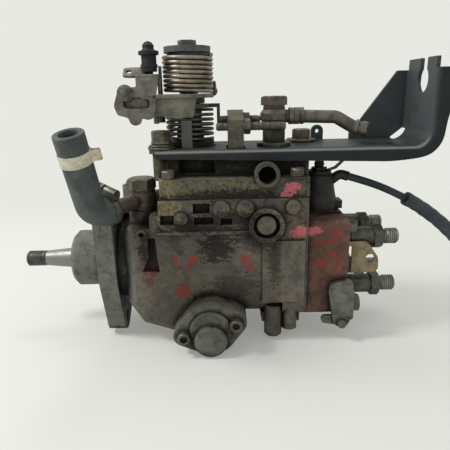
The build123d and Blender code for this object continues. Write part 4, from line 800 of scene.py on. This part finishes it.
def makeThrottleLever():
    size = throttlePlate
    near, sheet, wireR = pick(size, "near", "sheet", "wireR")
    back = near + sheet
    parts = []

    def addSheet(points, easing, thickness, place, *holes, ease=0.25):
        parts.append(sheetPlate([roundedLoop(points, easing), *holes], thickness, place, ease))

    outline = [(36, 145), (53, 143.4), (50.5, 134), (48.6, 115.2), (43.6, 113.2), (39.0, 114.6)]
    outline += [(37.6, 110.6), (34, 109.2), (30.4, 110.6), (28.6, 115.2), (21.3, 117.1), (18.9, 123.6)]
    outline += [(23.5, 136.9), (36, 136.4)]
    slot = [(26.0, size["slotLow"]), (45.0, size["slotLow"]), (45.4, 127.6), (41.0, size["slotHigh"])]
    slot = roundedLoop(slot + [(26.0, size["slotHigh"])], 3.6)
    addSheet(outline, 1.6, sheet, upright(near, back), slot)
    behind = [(22.5, 131.5), (49, 131.5), (49, 119.4), (22.5, 119.4)]
    addSheet(behind, 2.5, 1.6, upright(back + 0.9, back + 2.5))
    skirt = [(45, 131), (79.4, 131), (76.5, 114.6), (66, 113.6), (50.5, 115.8), (45, 117)]
    addSheet(skirt, 1.6, sheet, upright(near + 1, near + 3))
    flat = [(38, near), (79, near), (84, -8), (72, 12), (50, 6), (38, -6)]
    addSheet(flat, 3, 3.0, moved(0, 0, size["topZ"]), roundLoop(leverAxisX, 0, 6.6), ease=0.4)
    shelf = [(36, near), (53, near), (53, -5), (36, -5)]
    addSheet(shelf, 2, 2.5, moved(0, 0, size["shelfZ"]), ease=0.4)
    ear = [(-5, -4.3), (-1.5, -5), (12, -5.4), (12, 5.4), (-1.5, 5), (-5, 4.3)]
    tilt = moved(31, -14, 146.6) @ turned(size["earTilt"], "X")
    addSheet(ear, 3.4, 2.0, tilt, roundLoop(-0.6, 0, 2.1), ease=0.3)
    addSheet([(50.5, 131), (53, 131), (53, 144), (50.5, 144)], 0.5, 7, upright(-15, -8))
    addSheet([(51, 131), (53, 131), (53, 151), (51, 151)], 0.5, 4, upright(-10, -6))
    hub = [(6.5, 124), (11.6, 124), (12, 124.4), (12, 128), (18.6, 128)]
    hub += [(19, 128.4), (19, 130.7), (18.6, 131), (6.5, 131)]
    parts.append(placed(ringMesh(circles(*hub, count=64), closed=True), leverAxisX, 0, 0))
    # the hook wire ends in a small curl
    wire = [(84, 2, 129.5), (88, 2, 129.5), (91.6, 2, 130.2), (93.1, 2, 132.4), (92.2, 2, 134.6)]
    parts.append(rod(routeOf(wire + [(90.2, 2, 135.4)], 5), wireR))
    parts.append(rod([(91.8, 2, 131), (92.0, 2, 135), (91.4, 2, 140)], wireR))
    parts.append(placed(ringMesh(circles((1.7, 110), (2, 110.3), (2, 129), count=24)), 48, -14, 0))
    # bolt with its collar in the upper left corner of the plate
    collar = circles((5.6, -0.6), (5.8, 0), (5.8, 0.9), (5.4, 1.2))
    tip = circles((2.7, 3.9), (2.7, 5.2), (2.3, 5.5))
    x, z = size["boltAt"]
    stud = ringMesh(collar + hexHead(8.6, 1.2, 3.8) + tip)
    parts.append(placed(stud, facing((x, near, z), (0, -1, 0), 14)))
    addPiece("throttlePlates", joined(*parts), "leverZinc", "throttle_lever")


mainSpring = {"radius": 17.7, "wire": 1.5, "low": 131.1, "high": 160.2, "turns": 8.0}
idleSpring = {"radius": 17.4, "wire": 1.2, "low": 96.3, "high": 120.3, "turns": 6.0}


def springMesh(size):
    radius, wire = pick(size, "radius", "wire")
    height = size["high"] - size["low"] - 2 * wire
    coil = woundWire.grow(radius=radius, wire=wire, height=height, turns=size["turns"], sides=14)
    return placed(coil, leverAxisX, 0, size["low"] + wire)


def makeSprings():
    # the main spring's top turn runs off past the drum
    wire = mainSpring["wire"]
    side = leverAxisX + mainSpring["radius"]
    top = mainSpring["high"] - wire
    end = rod([(side, 0, top), (side - 0.3, 3.5, top), (side - 1.5, 7.0, top + 0.1)], wire, 14)
    coil = joined(springMesh(mainSpring), end)
    addPiece("throttleCoil", coil, "springSteel", "throttle_spring", 60)
    addPiece("idleCoil", springMesh(idleSpring), "darkSpring", "idle_spring", 60)


headRearX = 191.0
socketScrewSize = {"headR": 5.0, "top": 6.0, "shankR": 2.95, "shank": 17.5, "flat": 5.0, "knurl": 0.16}
socketScrewSpots = {
    "cover": [(57, -34), (57, 34), (151, -34), (151, 34)], "coverZ": 72,
    "head": [(-31.5, 31.5), (31.5, 31.5), (31.5, -31.5)],
    "device": [(65, -44), (104.2, -34)], "deviceY": 58,
}


def socketScrewModel():
    size = socketScrewSize
    count = 60
    headR, shankR, top, flat, knurl = pick(size, "headR", "shankR", "top", "flat", "knurl")
    under = [(shankR, -size["shank"]), (shankR, 0), (headR - 0.3, 0), (headR, 0.3), (headR, 0.9)]
    rings = circles(*under, count=count)
    rings += [circle(headR, 1, count, knurl), circle(headR, 4.9, count, knurl)]
    rings += circles((headR, 5), (headR - 0.6, top), (flat / 2 + 0.6, top), count=count)
    rings += [hexRing(flat, top - 0.5, count), hexRing(flat, top - 3, count)]
    return ringMesh(rings)


def makeSocketScrews():
    at = socketScrewSpots
    spots = [((x, y, at["coverZ"]), (0, 0, 1), x + y) for x, y in at["cover"]]
    spots += [((headRearX, y, z), (1, 0, 0), 3 * y) for y, z in at["head"]]
    for x, z in at["device"]:
        spots += [((x, out * at["deviceY"], z), (0, out, 0), x) for out in (-1, 1)]
    addPiece("socketScrewSet", repeated(socketScrewModel(), spots), "screwSteel", "socket_screws")


holderSize = {
    "outer": 7.6, "inner": 7.0, "flat": 17.0, "hexLow": 22.0, "hexTop": 30.0, "end": 42.3,
    "threadR": 6.0, "pitch": 1.5, "spots": [(-20, 20), (20, 20), (-20, -20), (20, -20)],
}


def holderModel():
    size = holderSize
    outer, inner, flat, threadR = pick(size, "outer", "inner", "flat", "threadR")
    low, top, end = pick(size, "hexLow", "hexTop", "end")
    flush = flat * flushShare
    rings = circles((4.2, -11), (inner, -11), (inner, 0), (outer, 0), (outer, 3.0), (outer - 0.5, 3.4))
    rings += circles((outer - 0.5, 4.4), (outer, 4.8), (outer, low))
    rings += [hexRing(flat, low + 0.3, 48, -0.5, flush), hexRing(flat, top - 0.2, 48, 0.5, flush)]
    rings += circles((flat * 0.46, top), (threadR - 0.9, top), (threadR - 0.9, top + 1.8))
    rings += circles((threadR - 0.7, top + 2.3), (threadR - 0.7, end - 0.5), (threadR - 0.9, end))
    rings += circles((3.2, end), (1.4, end - 3.4), (1.4, 19.0), (4.2, 19.0))
    ridge = threadRidge(threadR, size["pitch"], end - top - 3.4, 0.8)
    return joined(ringMesh(rings, closed=True), placed(ridge, 0, 0, top + 2.6))


def makeOutlets():
    spots = [((headRearX, y, z), (1, 0, 0), 17 * i) for i, (y, z) in enumerate(holderSize["spots"])]
    addPiece("outletHolderSet", repeated(holderModel(), spots), "outletSteel", "valve_holders", 32)


bracketBolts = {
    "near": (51.5, -21), "far": (161, 13), "post": (136, -12), "seat": 92, "flat": 12.9,
    "lug": (headRearX, -31.5, -31.5), "rear": (headRearX, -18.5, 1),
}


def washer(inner, outer, low, high, dish=0.0):
    under = [(inner, low), (outer - 0.3, low), (outer, low + 0.3)]
    over = [(outer, high - 0.4 - dish), (outer - 0.4, high - dish), (inner, high)]
    return ringMesh(circles(*under, *over), closed=True)


def bolt(shank, flat, low, top):
    return ringMesh(circles(*shank) + hexHead(flat, low, top))


def makeHexBolts():
    size = bracketBolts
    seat, flat = pick(size, "seat", "flat")
    shank = [(4.0, seat - 6.0), (4.0, seat + 4.0), (7.6, seat + 4.2), (7.2, seat + 6.0)]
    nearStack = joined(
        washer(4.0, 10.2, seat, seat + 2.4, 0.6),
        washer(4.0, 9.2, seat + 2.2, seat + 4.4, 1.2),
        bolt(shank, flat, seat + 6.0, seat + 13.5),
    )
    shank = [(4.0, seat - 6.0), (4.0, seat + 2.0), (7.0, seat + 2.5)]
    farStack = joined(washer(4.0, 12.0, seat, seat + 2.5, 0.3), bolt(shank, flat, seat + 2.6, seat + 10.0))
    shank = [(3.0, -38.0), (3.0, 5.0), (7.8, 5.0), (8.0, 5.3), (8.0, 6.3)]
    parts = [
        placed(nearStack, moved(*size["near"], 0) @ Matrix.Rotation(0.35, 4, "Z")),
        placed(farStack, moved(*size["far"], 0) @ Matrix.Rotation(0.6, 4, "Z")),
        placed(washer(8.8, 13.0, seat, seat + 3.2, 0.4), *size["post"], 0),
        placed(bolt(shank, 12.5, 6.4, 11.5), facing(size["lug"], (1, 0, 0), 12)),
        placed(bolt([(2.5, -11.0), (2.5, 2.0)], 8.0, 2.0, 6.0), facing(size["rear"], (1, 0, 0), 20)),
    ]
    addPiece("hexBoltSet", joined(*parts), "screwSteel", "hex_bolts")


inletBolt = {
    "place": (34.4, -19.0), "seat": 46.5, "eye": 12.0, "flat": 19.0,
    "shankR": 6.8, "depth": 13.0, "collar": (10.0, 1.2), "height": 9.0,
}
returnBolt = {
    "place": (136.0, -12.0), "seat": 107.1, "eye": 10.0, "flat": 17.0,
    "shankR": 4.9, "depth": 16.0, "collar": (8.0, 1.6), "height": 8.2,
}


def makeBanjoBolts():
    parts = []
    washers = 3.0  # both sealing washers together
    for size in (inletBolt, returnBolt):
        reach, collar = size["collar"]
        top = size["seat"] + washers + size["eye"]
        shank = [(size["shankR"], size["seat"] - size["depth"]), (size["shankR"], top), (reach - 0.4, top)]
        shank += [(reach, top + 0.3), (reach, top + collar - 0.2), (reach - 0.5, top + collar)]
        shape = bolt(shank, size["flat"], top + collar, top + size["height"])
        parts.append(placed(shape, moved(*size["place"], 0) @ turned(30)))
    addPiece("banjoBoltPair", joined(*parts), "brownZinc", "banjo_bolts")


stopScrews = {
    "lugEnd": 112.6, "thread": 3.0, "pitch": 1.0, "flat": 10.0,
    "rods": [(-12.0, 111.8, 94.5, 125.5), (-24.5, 107.5, 92.5, 143.2)],
}


def makeStopScrews():
    size = stopScrews
    thread, flat = pick(size, "thread", "flat")
    flush = flat * flushShare
    parts = []
    for y, z, start, end in size["rods"]:
        length = end - start
        stops = [(2.0, 0), (thread - 0.3, 0.8), (thread - 0.3, length - 0.6), (2.2, length)]
        ridge = placed(threadRidge(thread, size["pitch"], length - 4.0, 0.42), 0, 0, 1.6)
        screw = joined(ringMesh(circles(*stops, count=32)), ridge)
        parts.append(placed(screw, facing((start, y, z), (1, 0, 0))))
        rings = circles((thread, 0), (flush, 0)) + [hexRing(flat, 0.1, 48, -0.6, flush)]
        rings += hexHead(flat, 2.5, 5.0)[1:] + circles((thread, 5.0))
        nut = ringMesh(rings, closed=True)
        parts.append(placed(nut, facing((size["lugEnd"], y, z), (1, 0, 0), 11 * z)))
    addPiece("stopScrewPair", joined(*parts), "screwSteel", "adjusting_screws", 32)


inletHose = {
    "outer": 10.0, "bore": 6.0, "start": 33.0,
    "eye": (34.4, -19.0, 54.0), "corner": (8.0, -62.5, 52.6), "mouth": (3.0, -80.0, 109.6),
}


def towards(start, end, distance):
    run = Vector(end) - Vector(start)
    return Vector(start) + run.normalized() * distance


def alignRings(model, rings):
    # each ring starts at the point nearest to the ring before it, so that the faces don't twist
    result = []
    for ring in rings:
        first = Vector(model[0])
        middle = sum((Vector(p) for p in ring), Vector()) / len(ring)
        aim = (first - middle).normalized()
        start = max(range(len(ring)), key=lambda i: (Vector(ring[i]) - middle).normalized().dot(aim))
        model = ring[start:] + ring[:start]
        result.append(model)
    return result


def makeInletHose():
    size = inletHose
    corner = size["corner"]
    start = towards(size["eye"], corner, size["start"])
    line = routeOf([start, corner, towards(corner, size["mouth"], 20), size["mouth"]], 14)
    ends = [0.3, 0.05] + [0.0] * (len(line) - 4) + [0.0, 0.0]
    rings = tubeRings(line, [size["outer"] - cut for cut in ends], 40)
    # the cut end with its ply, as steps along the hose and radii
    mouth = line[-1]
    ahead = (line[-1] - line[-2]).normalized()
    steps = [(-0.5, 9.95), (-0.12, 9.7), (0.0, 9.3), (0.0, 8.5), (-0.22, 8.3), (-0.22, 7.9)]
    steps += [(0.0, 7.7), (0.0, 6.5), (-0.5, 6.1)]
    steps += [(inside, size["bore"]) for inside in (-4.0, -30.0, -42.0)]
    lips = []
    for step, radius in steps:
        lips += tubeRings([mouth + ahead * step, mouth + ahead * (step + 1)], [radius, radius], 40)[:1]
    rings = rings[:-1] + alignRings(rings[-1], lips)
    addPiece("feedHose", ringMesh(rings), "hose", "inlet_hose", 50)


hoseBand = {"width": 8.0, "from": 12.0, "thickness": 0.7, "earSheet": 0.7}
wormClamp = {"width": 5.6, "thickness": 0.8, "screwR": 3.4, "screwLength": 13.0, "flat": 7.6}


def bandMesh(radius, width, thickness):
    inside = radius + 0.02
    outside = radius + thickness
    stops = [(inside, 0), (outside - 0.15, 0), (outside, 0.2), (outside, width - 0.2)]
    return ringMesh(circles(*stops, (outside - 0.15, width), (inside, width), count=64), closed=True)


def ribbon(outline, width, thickness):
    # a flat strip bent along an outline in its own XY plane and as wide as Z
    rings = []
    for i, (x, y) in enumerate(outline):
        before = outline[max(i - 1, 0)]
        after = outline[min(i + 1, len(outline) - 1)]
        run = Vector((after[0] - before[0], after[1] - before[1])).normalized()
        u, v = -run.y * thickness / 2, run.x * thickness / 2
        low, high = -width / 2, width / 2
        rings.append([(x + u, y + v, low), (x + u, y + v, high), (x - u, y - v, high), (x - u, y - v, low)])
    return ringMesh(rings)


def makeHoseClamps():
    size = inletHose
    radius = size["outer"]
    mouth = Vector(size["mouth"])
    back = (Vector(size["corner"]) - mouth).normalized()
    width = hoseBand["width"]
    upper = facing(mouth + back * (hoseBand["from"] + width), -back)
    band = bandMesh(radius, width, hoseBand["thickness"])
    # the ear is pinched out of the band on the side of the pump
    half = [(9.6, 3.2), (10.6, 2.6), (11.6, 1.3), (13.6, 1.0), (15.4, 1.3)]
    outline = [(x, -y) for x, y in half] + [(16.2, 0.0)] + half[::-1]
    ear = ribbon(outline, width - 0.6, hoseBand["earSheet"])
    aim = upper.to_3x3().inverted() @ Vector((1, 0, 0.45))
    placed(ear, moved(0, 0, width / 2) @ turned(math.degrees(math.atan2(aim.y, aim.x))))
    addPiece("mouthBand", placed(joined(band, ear), upper), "band", "hose_clamps", 50)

    size = wormClamp
    eye = Vector(inletHose["eye"])
    run = (Vector(inletHose["corner"]) - eye).normalized()
    start = eye + run * (inletHose["start"] + 0.2)
    clip = placed(bandMesh(radius, size["width"], size["thickness"]), facing(start, run))
    across = run.cross(Vector((0.25, -0.1, 1.0))).normalized()
    outward = across.cross(run).normalized()
    place = Matrix((run, outward, across)).transposed().to_4x4()
    place.translation = start + run * size["width"] / 2 + outward * (radius + 3.6)
    # the housing is flat towards the band and round over the screw
    screwR, foot, crown = size["screwR"], -3.4, 0.4
    arch = [(screwR, foot), (screwR, crown)]
    for step in range(1, 8):
        angle = math.pi * step / 8
        arch.append((screwR * math.cos(angle), crown + screwR * math.sin(angle)))
    arch += [(-screwR, crown), (-screwR, foot)]
    house = ringMesh([[(x, y, z) for x, y in arch] for z in (-5.5, 4.5)])
    rings = circles((2.4, -size["screwLength"] / 2), (2.4, 5.8))
    rings += [hexRing(size["flat"], 6.0), hexRing(size["flat"], 11.2, 48, 0.5, 3.6)]
    screw = ringMesh(rings + circles((3.5, 11.6), (1.1, 11.6), (1.1, 10.2)))
    worm = placed(joined(house, screw), place)
    addPiece("wormClamp", joined(clip, worm), "screwSteel", "hose_clamps", 40)


# the lead's control points, in millimetres
leadRoute = [
    (196, -5, 65.5), (211.5, -4, 60.8), (230.2, -2.5, 53.4), (258.7, -0.5, 38.5), (288.5, 1, 14.9),
    (311, -1.5, -14), (334, -10, -41.5), (364.5, -21.5, -56.9), (400.5, -32, -54.8),
]
leadSize = {"radius": 3.0, "length": 0.2525, "sleeveFrom": 244.0, "sleeveTo": 301.0, "sleeveR": 5.7}


def makeLead():
    curve = smoothCurve("solenoidCable", [[c * mm for c in point] for point in leadRoute], 12)
    curve.bevel_depth = leadSize["radius"] * mm
    curve.bevel_resolution = 5
    curve.use_fill_caps = True
    curve.materials.append(finishes["lead"])
    lead = linked("solenoidCable", curve)
    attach(lead, frame["nodes"]["solenoid_lead"]["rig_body"])
    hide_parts("solenoid_lead")

    # a loose sleeve whose skin waves a little
    line = [p for p in routeOf(leadRoute, 24) if leadSize["sleeveFrom"] <= p.x <= leadSize["sleeveTo"]]
    outer = []
    for i in range(len(line)):
        slack = 0.14 * math.sin(i * 0.9) + 0.1 * math.sin(i * 0.37 + 1)
        outer.append(leadSize["sleeveR"] - 0.2 + slack)
    skin = tubeRings(line, outer, 28)
    bore = tubeRings(line, [leadSize["radius"] + 0.15] * len(line), 28)
    sleeve = ringMesh(skin + bore[::-1], closed=True)
    sleeve = addPiece("cableSleeve", sleeve, "sleeve", "lead_sleeve", 50)


shaftThread = {"start": -68.6, "end": -53.4, "radius": 6.3, "pitch": 1.5, "depth": 0.5}


def makeShaftThread():
    size = shaftThread
    ridge = threadRidge(size["radius"], size["pitch"], size["end"] - size["start"], size["depth"])
    placed(ridge, facing((size["start"], 0, 0), (1, 0, 0)))
    addPiece("shaftThread", ridge, "shaftSteel", "drive_shaft", 60, stands=False)


makeSprings()
makeThrottleLever()
print("springs wound and throttle lever made")
makeSocketScrews()
makeOutlets()
makeHexBolts()
makeBanjoBolts()
makeStopScrews()
makeShaftThread()
print("screws, bolts and outlets made")
makeInletHose()
makeHoseClamps()
print("feed hose and clamps made")
makeLead()
print("lead laid")

stage = {
    "wall": tone(232, 233, 226), "floor": tone(222, 222, 215), "floorWorn": tone(214, 215, 208),
    "ambient": tone(236, 238, 238), "ambientStrength": 0.7, "floorHalf": 6,
    "glowNear": 0.28, "glowFrom": 0.2, "glowTo": 0.75,
}
# place, width and watts of each lamp, all aimed at one point
lamps = {"key": ((-0.72, -0.2, 0.95), 0.3, 10.5), "ceiling": ((0.12, 0.45, 1.2), 0.45, 2.5)}
lampAim = (0.1, 0, 0.03)
viewpoint = {"place": (0.0975, -0.359, 0.132), "lens": 36, "sensor": 36, "down": 16.5, "roll": -1.24}


def makeWorld():
    # the pump is lit by the ambient tone, while lens, gloss and glass see the pale wall
    world = bpy.data.worlds.new("studio")
    bpy.context.scene.world = world
    world.use_nodes = True
    look = NodeBench(world.node_tree)
    seen = look.node("ShaderNodeLightPath", output="Is Camera Ray")
    for ray in ("Is Glossy Ray", "Is Transmission Ray"):
        seen = seen.either(look.node("ShaderNodeLightPath", output=ray))
    inputs = {0: stage["ambient"], 1: stage["ambientStrength"]}
    fill = look.node("ShaderNodeBackground", None, inputs)
    pale = look.node("ShaderNodeBackground", None, {0: stage["wall"]})
    swap = look.node("ShaderNodeMixShader", None, {0: seen, 1: fill, 2: pale})
    out = look.tree.nodes.new("ShaderNodeOutputWorld")
    plug(look.tree, out.inputs[0], swap)


def makeFloor():
    # the floor melts into the wall's colour with distance and keeps the pump's shadow
    look = Finish("paleFloor")
    look.colour = look.mix(look.noise(180, 3, 0.5), stage["floor"], stage["floorWorn"])
    look.finish(0.6)
    far = look.vector("LENGTH", look.place, output="Value").between(stage["glowFrom"], stage["glowTo"])
    share = look.node("ShaderNodeLightPath", output="Is Camera Ray")
    share = share * (stage["glowNear"] + far * (1.0 - stage["glowNear"]))
    glow = look.node("ShaderNodeEmission", None, {"Color": stage["wall"], "Strength": 1.0})
    lit = Wire(look.tree, look.shader.outputs[0])
    blend = look.node("ShaderNodeMixShader", None, {0: share, 1: lit, 2: glow})
    plug(look.tree, look.out.inputs[0], blend)
    half = stage["floorHalf"]
    z = cadBox[0][2]
    mesh = bpy.data.meshes.new("floor")
    corners = [(-half, -half, z), (half, -half, z), (half, half, z), (-half, half, z)]
    mesh.from_pydata(corners, [], [(0, 1, 2, 3)])
    mesh.materials.append(look.material)
    floor = linked("floor", mesh)


def makeLamps():
    for name, (place, width, watts) in lamps.items():
        lamp = bpy.data.lights.new(name, "AREA")
        lamp.shape = "DISK"
        lamp.size = width
        lamp.energy = watts
        holder = linked(name, lamp)
        holder.location = place
        holder.rotation_euler = (Vector(lampAim) - Vector(place)).to_track_quat("-Z", "Y").to_euler()


def makeCamera():
    view = bpy.data.cameras.new("view")
    view.sensor_width = viewpoint["sensor"]
    view.lens = viewpoint["lens"]
    view.clip_start = 0.01
    holder = linked("view", view)
    tilt = turned(90 - viewpoint["down"], "X")
    holder.matrix_world = moved(*viewpoint["place"]) @ tilt @ turned(viewpoint["roll"])
    bpy.context.scene.camera = holder


makeWorld()
makeFloor()
makeLamps()
makeCamera()
bpy.context.scene.view_settings.view_transform = "Standard"
print("stage, lamps and camera set")
